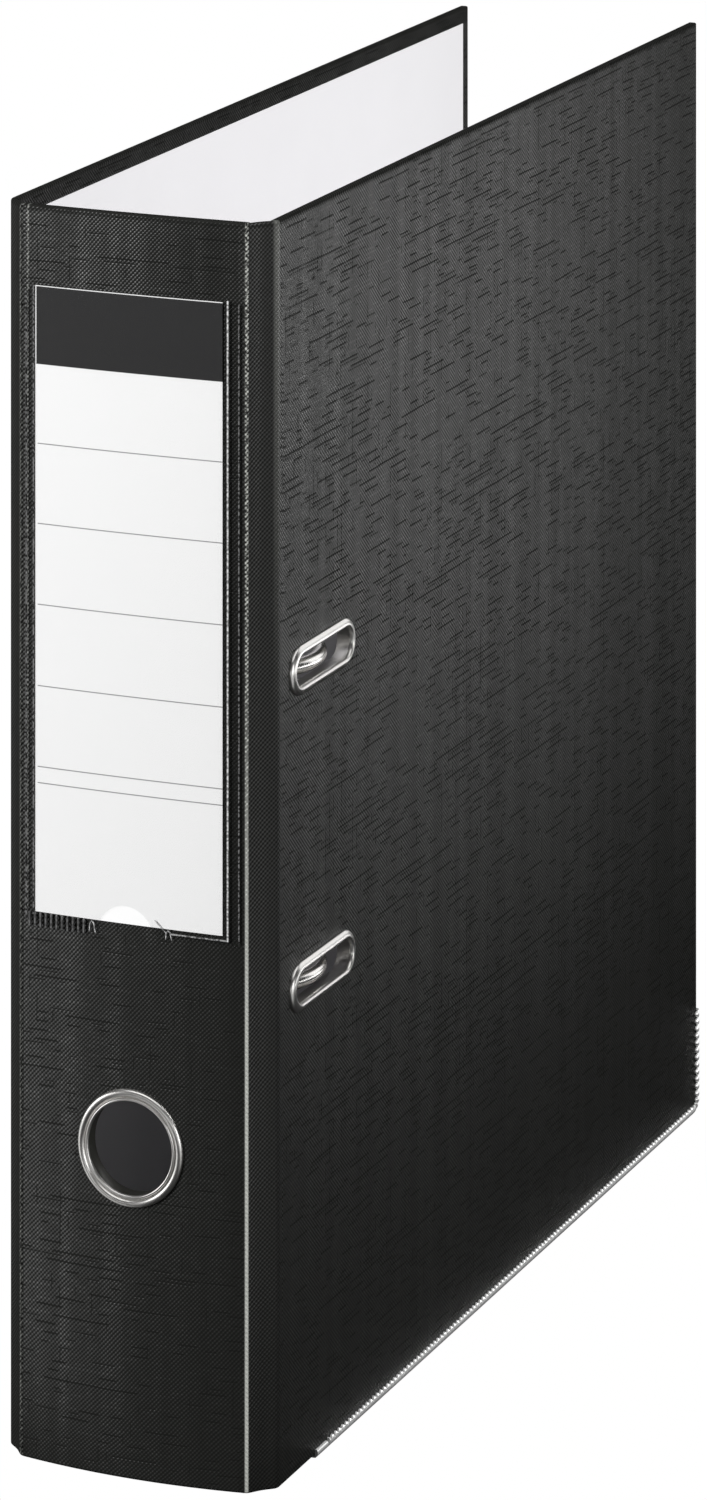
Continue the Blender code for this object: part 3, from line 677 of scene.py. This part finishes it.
def cover_stations():
    st = [(YC + 0.3, SKIN_T + 0.03, T), (YC + REACH, SKIN_T + 0.03, T), (YC + REACH, 0.0, T)]
    for k in range(1, 12):
        st.append((YC + REACH + (Y_FAR - EDGE_R - YC - REACH) * k / 12, 0.0, T))
    return st


def cover_board(name, place, sign, cutters):
    rings, uv = [], []
    s_of = lambda a: sign * (HS + SL + (a - YC))
    for a, wo, wi in cover_stations():
        ring = []
        for w, z, v in edge_profile(wo, wi):
            ring.append(place(a, z, w))
            uv.append((s_of(a), v))
        rings.append(ring)
    for a, cut in far_edge(Y_FAR):
        ring = []
        for w, z, v in edge_profile(0.0, T):
            # shrink the section towards its middle line as the foil turns round the end
            mid = T / 2
            w2 = max(cut, min(T - cut, w))
            z2 = max(Z0 + cut, min(Z1 - cut, z))
            ring.append(place(a, z2, w2))
            uv.append((s_of(a) + sign * cut, v))
        rings.append(ring)
    obj = loft(name, rings, FOIL, uv=uv, angle=50)
    if cutters:
        carve(obj, cutters, angle=50)
    return weighted(obj)


# slots and rivets, from the frame
slots = []
for n in ("slot_eyelet_upper", "slot_eyelet_lower"):
    lo, hi = mm_box(n)
    slots.append(((lo[1] + hi[1]) / 2, (lo[2] + hi[2]) / 2, (hi[1] - lo[1]) / 2, (hi[2] - lo[2]) / 2))
SLOT_R = slots[0][3]
SLOT_HALF = slots[0][2] - SLOT_R
rivets = []
for k in range(1, 5):
    lo, hi = mm_box("mechanism_rivet_%d" % k)
    rivets.append(((lo[1] + hi[1]) / 2, (lo[2] + hi[2]) / 2))

def corner_cutter(place):
    cy, cz = Y_FAR - CORNER_R, Z0 + CORNER_R
    return prism("c", [(cy, Z0 - 3.0)] + arc(cy, cz, CORNER_R, -90, 0, 10)
                 + [(Y_FAR + 3.0, cz), (Y_FAR + 3.0, Z0 - 3.0)], place, -1.0, 4.5, FOIL)


front = cover_board("front_cover_foil", on_front, 1, [corner_cutter(on_front)]
                    + [prism("c", slot(y, z, SLOT_HALF)(4.95), on_front, -1.0, 4.5, FOIL) for y, z, _, _ in slots])
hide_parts("front_wrap")
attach(front, "front_cover")
back = cover_board("back_cover_foil", on_back, -1, [corner_cutter(on_back)]
                   + [prism("c", circle(y, z, 24)(2.0), on_back, -1.0, 4.5, FOIL) for y, z in rivets])
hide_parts("back_wrap")
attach(back, "back_cover")

ring_lo, ring_hi = mm_box("finger_ring")
RING_Z = (ring_lo[2] + ring_hi[2]) / 2
RING_R = (ring_hi[0] - ring_lo[0]) / 2
RING_X = (ring_hi[0] + ring_lo[0]) / 2

sx = HS - REACH
st = [(-HS + 0.35, SKIN_T + 0.03, T), (-sx, SKIN_T + 0.03, T), (-sx, 0.0, T)]
st += [(-sx + 2 * sx * k / 32, 0.0, T) for k in range(1, 32)]
st += [(sx, 0.0, T), (sx, SKIN_T + 0.03, T), (HS - 0.35, SKIN_T + 0.03, T)]
spine = covered_board("spine_foil", on_spine, st, lambda a: a)
def through_spine(r, steps=64):
    """A straight round hole through the bent spine."""
    return prism("c", circle(RING_X, RING_Z, steps)(r), lambda x, z, y: (x, y, z), YS - BOW - 3.0, YS + 6.0, FOIL)


carve(spine, [through_spine(12.45)], angle=50)
weighted(spine)
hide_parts("spine_wrap")
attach(spine, "spine")

# boards stay inside the foil; their CAD solids are right and only need their material
core = bowed_slab("spine_board_bent", (-HS + 0.8, HS - 0.8), (Z0 + 0.6, Z1 - 0.6), (0.5, T - 0.5), BOARD)
carve(core, [through_spine(12.5)])
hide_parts("spine_board")
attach(core, "spine")
for n in ("front_board", "back_board"):
    frame["nodes"][n].data.materials.clear()
    frame["nodes"][n].data.materials.append(BOARD)


# ------------------------------------------------------------- soft hinges: foil over both creases
def crease_path():
    """Outer surface from the spine's face over the hinge strip to the cover's face (front side, mm)."""
    a = Vector((HS - REACH, YS - bow(HS - REACH), 0))
    b = Vector((HS, YS, 0))
    c = Vector((XO, YC, 0))
    d = Vector((XO, YC + REACH, 0))
    first = fillet([a, b, (b + c) / 2], 2.0, 8)
    second = fillet([(b + c) / 2, c, d], 2.4, 8)
    return first, second


def with_normals(path, hollow_from, hollow_to, hollow):
    """Points, inward normals and running length; the strip's middle is pulled in beforehand, by hollowed()."""
    out, s = [], 0.0
    n = len(path)
    for i, p in enumerate(path):
        t = (path[min(i + 1, n - 1)] - path[max(i - 1, 0)]).normalized()
        nrm = Vector((-t.y, t.x, 0))
        if i:
            s += (p - path[i - 1]).length
        out.append([p.copy(), nrm, s])
    return out


def skin(name, path, side, t_out, t_in, mat, s0, replaces=None, zr=None):
    rings, uv = [], []
    za, zb = zr or (Z0, Z1)
    r = min(EDGE_R, t_in - t_out - 0.02) if mat is FOIL else 0.02
    for p, nrm, s in path:
        prof = []
        q = math.pi / 2
        steps = 4
        for k in range(steps + 1):
            t = k / steps * q
            prof.append((t_out + r * (1 - math.sin(t)), za + r * (1 - math.cos(t)), za - r * (1 - t / q)))
        prof += [(t_out, z, z) for z in LEVELS]
        for k in range(steps + 1):
            t = k / steps * q
            prof.append((t_out + r * (1 - math.cos(t)), zb - r * (1 - math.sin(t)), zb + r * (t / q)))
        prof.append((t_in, zb, zb + t_in))
        prof += [(t_in, z, 2 * zb + t_in - z) for z in reversed(LEVELS)]
        prof.append((t_in, za, za - t_in))
        ring = []
        for w, z, v in prof:
            x = p.x + nrm.x * w
            y = p.y + nrm.y * w - bow(p.x, z) + bow(p.x)
            ring.append((side * x, y, z))
            uv.append((side * (s0 + s), v))
        rings.append(ring)
    obj = loft(name, rings, mat, uv=uv, angle=60)
    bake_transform(obj)
    if replaces:
        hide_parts(*replaces)
    return obj


first, second = crease_path()
HOLLOW = 0.30
mid = Vector(((HS + XO) / 2, (YS + YC) / 2, 0))
strip_dir = Vector((XO - HS, YC - YS, 0)).normalized()
strip_in = Vector((-strip_dir.y, strip_dir.x, 0))


def refine(path, step):
    out = [path[0]]
    for a, b in zip(path, path[1:]):
        n = max(1, int(math.ceil((b - a).length / step)))
        for k in range(1, n + 1):
            out.append(a + (b - a) * (k / n))
    return out


def hollowed(path):
    """Pull the strip's middle in a little, smoothly, so that it reads as unsupported foil."""
    out = []
    for p in path:
        s = (p - Vector((HS, YS, 0))).dot(strip_dir) / SL
        k = max(0.0, min(1.0, s))
        f = (math.sin(math.pi * k) ** 2) * HOLLOW if 0 < s < 1 else 0.0
        out.append(p + strip_in * f)
    return out


first = with_normals(hollowed(refine(first, 0.35)), 0, 0, 0)
second = with_normals(hollowed(refine(second, 0.35)), 0, 0, 0)
# the two pieces meet at the same normal, in the middle of the strip
mid_n = strip_in
first[-1][1] = mid_n
second[0][1] = mid_n
second[-1][1] = Vector((-1, 0, 0))
len_first = first[-1][2]

for side, tag, hinge, cover in ((1, "front", "front_hinge", "front_cover"), (-1, "back", "back_hinge", "back_cover")):
    skin(tag + "_hinge_foil_spine_side", first, side, 0.0, SKIN_T, FOIL, HS - REACH,
         replaces=[tag + "_hinge_strip"])
    skin(tag + "_hinge_foil_cover_side", second, side, 0.0, SKIN_T, FOIL, HS - REACH + len_first)


# ------------------------------------------------------------- white lining
def lining(name, place, a0, a1, cutters, node, body):
    w0, w1 = T + 0.03, W_LIN
    p, q = place(a0, ll_lo[2], w0), place(a1, ll_hi[2], w1)
    obj = box_mesh(name, [min(p[i], q[i]) for i in range(3)], [max(p[i], q[i]) for i in range(3)], LINING)
    if cutters:
        carve(obj, cutters)
    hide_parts(node)
    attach(obj, body)
    return obj


lining("front_cover_lining", on_front, YC + INSET, Y_FAR - INSET,
       [prism("c", slot(y, z, SLOT_HALF)(4.95), on_front, -1.0, 4.5, LINING) for y, z, _, _ in slots],
       "front_lining", "front_cover")
lining("back_cover_lining", on_back, YC + INSET, Y_FAR - INSET,
       [prism("c", circle(y, z, 24)(2.0), on_back, -1.0, 4.5, LINING) for y, z in rivets], "back_lining", "back_cover")
paper = bowed_slab("spine_paper_lining", (-HS + INSET, HS - INSET), (ll_lo[2], ll_hi[2]), (T + 0.03, W_LIN), LINING)
carve(paper, [through_spine(12.45)])
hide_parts("spine_lining")
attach(paper, "spine")

# ------------------------------------------------------------- finger ring
ring = circle(RING_X, RING_Z, 96)
RING_PROUD = -1.25                  # how far the rolled flange stands in front of the spine
prof = [(RING_R, -0.02), (RING_R + 0.02, -0.30)]
prof += [(RING_R - 0.95 + 0.95 * math.cos(t), -0.35 + (RING_PROUD + 0.35) * math.sin(t)) for t in np.linspace(0.15, math.pi - 0.35, 12)]
prof += [(RING_R - 2.0, -0.42), (RING_R - 2.12, -0.40)]
prof += [(RING_R - 2.55 + 0.42 * math.cos(t), -0.42 - 0.52 * math.sin(t)) for t in np.linspace(0.2, math.pi, 9)]
prof += [(RING_R - 2.95, -0.1), (RING_R - 2.6, -0.02)]
flange = sweep("finger_ring_flange", ring, prof, on_spine, NICKEL_RING, angle=80)
# the sleeve through the board carries the painted shade of the finger hole's bore
sleeve = sweep("sleeve", ring, [(RING_R - 2.72, -0.05), (RING_R - 2.42, -0.05), (RING_R - 2.42, 3.5), (RING_R - 1.2, 3.55),
                                (RING_R - 1.25, 3.85), (RING_R - 2.5, 3.9), (RING_R - 2.72, 3.7)], on_spine, SLEEVE_PAINTED_SHADE, angle=60)
obj = joined("finger_ring_rolled", [flange, sleeve])
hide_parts("finger_ring")
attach(obj, "spine")
frame["nodes"]["finger_ring_backing"].data.materials.clear()
frame["nodes"]["finger_ring_backing"].data.materials.append(NICKEL_SOFT)

# ------------------------------------------------------------- slot eyelets
for tag, (y, z, hy, hz) in zip(("upper", "lower"), slots):
    path = slot(y, z, SLOT_HALF, 22)
    lo, hi = mm_box("slot_eyelet_" + tag)
    out = XO - hi[0]               # negative: stands proud
    prof = [(SLOT_R, -0.02)]
    prof += [(SLOT_R - 1.75 + 1.75 * math.cos(t), -0.1 + (out - 0.35) * math.sin(t)) for t in np.linspace(0.10, math.pi / 2, 9)]
    prof += [(SLOT_R - 1.75 - 0.55 * math.sin(t), -0.1 + (out - 0.35) * math.cos(t)) for t in np.linspace(0.25, math.pi / 2, 6)]
    prof += [(SLOT_R - 2.25, 0.1), (SLOT_R - 1.85, 0.9), (SLOT_R - 1.8, 3.5), (SLOT_R - 1.6, 3.72),
             (SLOT_R - 0.8, 3.75), (SLOT_R - 0.55, 3.55), (SLOT_R - 0.8, 3.42), (SLOT_R - 1.45, 3.4),
             (SLOT_R - 1.5, 0.1), (SLOT_R - 1.3, -0.02)]
    obj = sweep("slot_rim_" + tag, path, prof, on_front, NICKEL_SOFT, angle=70)
    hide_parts("slot_eyelet_" + tag)
    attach(obj, "front_cover")
    n = frame["nodes"]["slot_backing_" + tag]
    n.data.materials.clear()
    n.data.materials.append(NICKEL_SOFT)


# ------------------------------------------------------------- edge rails
def rail(name, place, node, body):
    lo, hi = mm_box(node)
    y0 = lo[1]
    up = hi[2]
    d = 0.5                          # outside of the rail, away from the board's edge
    pitch = 2.1
    cy, cz = Y_FAR - CORNER_R, Z0 + CORNER_R
    run = cy - y0
    turn = CORNER_R * math.pi / 2
    rise = up - cz
    steps = int((run + turn + rise) / (pitch / 10))
    rings = []
    g = 0.08
    for k in range(steps + 1):
        t_ = (run + turn + rise) * k / steps
        if t_ < run:
            y, z, oy, oz = y0 + t_, Z0, 0.0, -1.0
        elif t_ < run + turn:
            q = (t_ - run) / CORNER_R
            oy, oz = math.sin(q), -math.cos(q)
            y, z = cy + CORNER_R * oy, cz + CORNER_R * oz
        else:
            y, z, oy, oz = Y_FAR, cz + t_ - run - turn, 1.0, 0.0
        tooth = max(0.0, math.cos(TAU * (t_ / pitch - 0.5)) * 0.5 + 0.5) ** 0.4 if t_ > 7.0 else 0.75
        tooth = 0.0 if 6.2 < t_ <= 7.0 else tooth
        legh = 0.45 + 1.55 * tooth
        bulge = 0.55 * tooth
        sec = [(-g, -legh), (-g - 0.16, -legh - 0.04), (-d - 0.05 - bulge * 0.35, -legh + 0.10), (-d - bulge * 0.8, -legh * 0.78),
               (-d - bulge, -legh * 0.5), (-d - bulge * 0.75, -legh * 0.2),
               (-d, 0.05), (-d + 0.10, 0.30), (-d + 0.36, d - 0.04), (0.4, d), (T - 0.4, d),
               (T + d - 0.36, d - 0.04), (T + d - 0.10, 0.30), (T + d, 0.05),
               (T + d + bulge * 0.75, -legh * 0.2), (T + d + bulge, -legh * 0.5), (T + d + bulge * 0.8, -legh * 0.78),
               (T + d + 0.05 + bulge * 0.35, -legh + 0.10), (T + g + 0.16, -legh - 0.04), (T + g, -legh),
               (T + g, 0.10), (-g, 0.10)]
        rings.append([place(y + oy * o, z + oz * o, w) for w, o in sec])
    obj = loft(name, rings, RAIL, angle=45)
    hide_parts(node)
    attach(obj, body)
    return obj


rail("front_bottom_rail", on_front, "front_edge_rail", "front_cover")
rail("back_bottom_rail", on_back, "back_edge_rail", "back_cover")

# ------------------------------------------------------------- label and its pocket
lab_lo, lab_hi = mm_box("spine_label")
label = bowed_slab("label_card_insert", (lab_lo[0], lab_hi[0] + 1.3), (lab_lo[2], lab_hi[2]), (-0.42, -0.18),
                   label_material(lab_lo[0], lab_hi[0], lab_lo[2], lab_hi[2]))
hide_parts("spine_label")
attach(label, "label")

pk_lo, pk_hi = mm_box("label_pocket")
PX = (pk_hi[0] - pk_lo[0]) / 2
film = bowed_slab("film", (-PX + 0.2, PX - 0.2), (pk_lo[2] + 0.3, pk_hi[2] - 0.1), (-0.8, -0.62), FILM, 30)
MOON_X, MOON_Z, MOON_R = -1.4, 136.4, 7.9      # thumb cut-out
carve(film, [prism("c", circle(MOON_X, MOON_Z, 40)(MOON_R), lambda x, z, y: (x, y, z), YS - BOW - 4.0, YS, FILM)])
# the beads and the weld's ridges are coloured grey: painted highlights on the clear film
BEAD = bead_material("film_bead", 0.62, 0.3)
BEAD_LINE = bead_material("film_bead_line", 0.30, 0.6)
BEAD_DIM = bead_material("film_bead_dim", 0.16, 1.0)
RIDGE = bead_material("film_weld", 0.12, 0.0)
parts = [film]
top = pk_hi[2] - 0.1
parts.append(bowed_slab("b", (26.85, 27.25), (lab_lo[2] - 1.2, top), (-0.92, -0.78), BEAD, 2))
parts.append(bowed_slab("b", (PX - 0.15, PX + 0.1), (pk_lo[2] + 1.0, top - 1.0), (-0.70, -0.4), BEAD_DIM, 2))
parts.append(bowed_slab("b", (-PX + 0.1, -PX + 0.38), (pk_lo[2] + 0.4, top - 2.0), (-0.88, -0.5), BEAD_DIM, 2))
parts.append(bowed_slab("b", (lab_lo[0] - 0.40, lab_lo[0] - 0.16), (pk_lo[2] + 1.2, top - 0.5), (-0.90, -0.78), BEAD_DIM, 2))
for k in range(11):                 # the weld is ridged on the left of the cut-out ...
    x = -PX + 1.0 + 1.56 * k
    parts.append(bowed_slab("r", (x, x + 0.45), (lab_lo[2] - 3.6, lab_lo[2] - 0.1), (-0.92, -0.5), RIDGE, 2))
parts.append(bowed_slab("r", (11.4, 27.2), (lab_lo[2] - 1.2, lab_lo[2] - 0.85), (-0.92, -0.78), BEAD_LINE, 12))
parts.append(tube("h", [on_spine(a, b, -0.84) for a, b in ((6.9, lab_lo[2] + 2.0), (10.2, lab_lo[2] - 1.0))], 0.10, BEAD_LINE, sides=8))
for x, tall in ((-10.6, 2.7), (10.9, 2.2)):     # ... and ends in a small hook on either side of it
    z = lab_lo[2] - tall - 0.2
    hook = [(x - 0.9, z), (x - 0.8, z + tall * 0.7), (x - 0.3, z + tall), (x + 0.3, z + tall * 0.8), (x + 0.55, z + tall * 0.2),
            (x + 0.8, z - 0.1)]
    parts.append(tube("h", [on_spine(a, b, -0.84) for a, b in hook], 0.14, BEAD, sides=8))
film = joined("pocket_film", parts)
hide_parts("label_pocket")
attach(film, "spine")

# ------------------------------------------------------------- mechanism
for n, m in (("base_plate", STEEL), ("shaft_keeper_upper", STEEL), ("shaft_keeper_lower", STEEL), ("arch_spring", STEEL),
             ("lever_bracket", STEEL), ("lever_arm", NICKEL_SOFT), ("compressor_bar", STEEL), ("post_upper", NICKEL),
             ("post_lower", NICKEL), ("lever_pivot_pin", NICKEL), ("roller_axle", NICKEL), ("lever_roller", PLASTIC),
             ("compressor_grip_upper", PLASTIC), ("compressor_grip_lower", PLASTIC), ("mechanism_rivet_1", NICKEL),
             ("mechanism_rivet_2", NICKEL), ("mechanism_rivet_3", NICKEL), ("mechanism_rivet_4", NICKEL)):
    o = frame["nodes"][n]
    o.data.materials.clear()
    o.data.materials.append(m)

aj = joint["arch_open"]["pos_m"]
SHX, SHY = aj[0] / MM, aj[1] / MM
aw_lo, aw_hi = mm_box("arch_wire")
WR = 2.0
ARCH_R = (aw_hi[1] - aw_lo[1] - 2 * WR) / 2
ARCH_CX = aw_hi[0] - WR - ARCH_R
zl, zu = aw_lo[2] + WR, aw_hi[2] - WR
cz0, cz1 = 166.0, 190.0
ARCH_TALL = 1.0                     # the arch tops press well up into the slots


def half_circle(z, n=40):
    return [Vector((ARCH_CX + (ARCH_R + ARCH_TALL) * math.sin(math.pi * k / n), SHY + ARCH_R + ARCH_R * math.cos(math.pi * k / n),
                    z - 0.7 * math.sin(math.pi * k / n) ** 2)) for k in range(n + 1)]


cr = 17.5
corners = [(ARCH_CX - 1.0, SHY, zl), (SHX, SHY, zl), (SHX, SHY, cz0), (SHX, SHY + cr, cz0), (SHX, SHY + cr, cz1),
           (SHX, SHY, cz1), (SHX, SHY, zu), (ARCH_CX - 1.0, SHY, zu)]
wire = half_circle(zl) + fillet(corners, 3.2, 8) + half_circle(zu)[::-1]


def wire_radius(i, n):
    # the tips taper to a blunt point that seats in the posts
    k = min(i, n - 1 - i)
    return WR * (0.55, 0.80, 0.95)[k] if k < 3 else WR


arch = tube("arch_wire_bent", wire, wire_radius, NICKEL, sides=24, angle=50)
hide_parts("arch_wire")
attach(arch, "arch")

# ------------------------------------------------------------- stage, light, camera
def stage_material():
    """White sweep as the camera sees it; in reflections, dark near the case and bright further off."""
    g = Graph("stage_paper")
    x, y, z = g.object_mm()
    # front left: bright to the left of the way the spine's middle looks
    lx = g.m("SUBTRACT", 0.0, x)
    ly = g.m("SUBTRACT", YS, y)
    side = g.m("DIVIDE", lx, g.m("MAXIMUM", ly, 1.0))
    left = g.m("MULTIPLY", g.step(side, 0.55, 1.15), g.step(ly, 5.0, 60.0))
    left = g.m("MULTIPLY", left, g.m("MULTIPLY_ADD", g.step(ly, 250.0, 1100.0), 0.45, FLOOR_LEFT))
    # back right: bright from some way behind the cover
    far = g.m("ADD", g.m("MULTIPLY", x, 0.45), g.m("MULTIPLY", y, 0.9))
    back = g.m("MULTIPLY", g.step(far, 500.0, 1000.0), g.step(x, 20.0, 120.0))
    turn = g.m("DIVIDE", y, g.m("MAXIMUM", x, 1.0))
    back = g.m("MULTIPLY", back, g.m("MULTIPLY_ADD", g.step(turn, 1.35, 2.45), -0.95, 1.0))
    back = g.m("MULTIPLY", back, FLOOR_BACK)
    # front right: a low glow for the soft corner between spine and cover
    right = g.m("MULTIPLY", g.step(g.m("ADD", x, g.m("MULTIPLY", y, 0.35)), 20.0, 120.0), g.step(ly, -20.0, 60.0))
    right = g.m("MULTIPLY", right, FLOOR_RIGHT)
    glow = g.m("ADD", g.m("ADD", g.m("ADD", left, back), right), 0.02)
    light = g.nt.nodes.new("ShaderNodeLightPath")
    seen = g.m("ADD", g.m("MULTIPLY", light.outputs["Is Camera Ray"], 1.0),
               g.m("MULTIPLY", g.m("SUBTRACT", 1.0, light.outputs["Is Camera Ray"]),
                   g.m("MULTIPLY", light.outputs["Is Glossy Ray"], glow)))
    em = g.node("ShaderNodeEmission", Color=(1, 1, 1, 1))
    g.put(em.inputs["Strength"], seen)
    g.nt.links.new(em.outputs[0], g.out.inputs["Surface"])
    g.mat.cycles.emission_sampling = "NONE"
    return g.mat


FLOOR_LEFT, FLOOR_BACK, FLOOR_RIGHT = 0.85, 3.1, 0.55
AMBIENT, AMBIENT_GLOSS = 0.048, 0.03
floor = box_mesh("stage_floor", (-6000, -6000, -20.0), (6000, 6000, 0.0), stage_material())

world = bpy.data.worlds.new("studio")
bpy.context.scene.world = world
world.use_nodes = True
wn = world.node_tree
bg = wn.nodes["Background"]
lp = wn.nodes.new("ShaderNodeLightPath")
m1 = wn.nodes.new("ShaderNodeMix")
m1.data_type = "FLOAT"
m1.inputs[2].default_value = AMBIENT         # for matt surfaces
m1.inputs[3].default_value = AMBIENT_GLOSS   # dark studio for reflections
wn.links.new(lp.outputs["Is Glossy Ray"], m1.inputs[0])
m2 = wn.nodes.new("ShaderNodeMix")
m2.data_type = "FLOAT"
m2.inputs[3].default_value = 1.0
wn.links.new(lp.outputs["Is Camera Ray"], m2.inputs[0])
wn.links.new(m1.outputs[0], m2.inputs[2])
wn.links.new(m2.outputs[0], bg.inputs["Strength"])
bg.inputs["Color"].default_value = (1, 1, 1, 1)


def area(name, loc, target, sx_, sy_, power, colour=(1, 1, 1)):
    data = bpy.data.lights.new(name, "AREA")
    data.shape = "RECTANGLE"
    data.size, data.size_y = sx_, sy_
    data.energy = power
    data.color = colour
    o = bpy.data.objects.new(name, data)
    bpy.context.collection.objects.link(o)
    o.location = loc
    d = Vector(target) - Vector(loc)
    o.rotation_euler = d.to_track_quat("-Z", "Y").to_euler()
    return o


key_front = area("key_front", (-0.95, -1.75, 1.10), (0, -0.14, 0.17), 0.9, 1.0, 62)
key_right = area("key_right", (1.55, -0.15, 1.62), (0.0, 0.0, 0.2), 1.0, 1.0, 47)
# the bright metal is lit by its own cards, as held close to it, and the rest by the two lamps
bright, rails, others = (bpy.data.collections.new(n) for n in ("bright_metal", "rails", "all_but_metal"))
for o in bpy.data.objects:
    if o.type != "MESH":
        continue
    if any(m in (NICKEL, NICKEL_RING, NICKEL_SOFT, STEEL) for m in o.data.materials):
        bright.objects.link(o)
    else:
        others.objects.link(o)
        if RAIL in list(o.data.materials):
            rails.objects.link(o)


def card(name, loc, target, sx_, sy_, level, who):
    """A card of an even brightness, for some of the objects only."""
    lamp = area(name, loc, target, sx_, sy_, level * math.pi * sx_ * sy_)
    lamp.light_linking.receiver_collection = who


for lamp in (key_front, key_right):
    lamp.light_linking.receiver_collection = others
linings = bpy.data.collections.new("linings")
for o in bpy.data.objects:
    if o.type == "MESH" and LINING in list(o.data.materials):
        linings.objects.link(o)
fill = area("fill_inside", (-1.1, 2.3, 0.9), (0.0, 0.0, 0.16), 1.0, 1.0, 16)
fill.light_linking.receiver_collection = linings
card("back_right", (1.1, 2.0, 1.35), (0.04, 0.0, 0.2), 2.4, 2.2, 1.25, bright)
card("left", (-1.5, -0.9, 0.35), (0.0, -0.14, 0.1), 1.2, 1.0, 2.6, bright)
card("right", (1.5, -0.9, 0.35), (0.0, -0.14, 0.1), 0.9, 0.8, 2.6, bright)
card("front", (0.1, -1.9, 0.22), (0.0, -0.14, 0.1), 1.6, 0.4, 1.2, bright)
card("top", (0.0, -0.3, 1.7), (0.0, -0.1, 0.1), 1.8, 1.8, 1.4, bright)
card("back_low", (0.75, 1.4, 0.22), (0.04, -0.1, 0.15), 0.9, 0.4, 4.0, rails)

cam_data = bpy.data.cameras.new("camera")
cam = bpy.data.objects.new("camera", cam_data)
bpy.context.collection.objects.link(cam)
CAM = Vector(((HS + 688.3) * MM, (YS - 1398.1) * MM, 664.8 * MM))
cam.location = CAM
cam.rotation_euler = (math.pi / 2, 0.0, math.radians(20.691))
cam_data.sensor_width = 36.0
cam_data.lens = 148.75
cam_data.clip_start, cam_data.clip_end = 0.05, 50.0
for attr, value in (("shift_x", -0.3283), ("shift_y", -1.2733)):
    # the shift belongs to this one viewpoint; from any other place the lens is centred
    setattr(cam_data, attr, value)
    drv = cam_data.driver_add(attr).driver
    drv.type = "SCRIPTED"
    for i, axis in enumerate("XYZ"):
        var = drv.variables.new()
        var.name = "p" + axis.lower()
        var.type = "TRANSFORMS"
        var.targets[0].id = cam
        var.targets[0].transform_type = "LOC_" + axis
        var.targets[0].transform_space = "WORLD_SPACE"
    drv.expression = "%.5f if abs(px - %.5f) + abs(py - %.5f) + abs(pz - %.5f) < 0.002 else 0.0" % (value, *CAM)
bpy.context.scene.camera = cam
bpy.context.scene.view_settings.view_transform = "Standard"
bpy.context.scene.view_settings.look = "None"

bpy.context.view_layer.update()
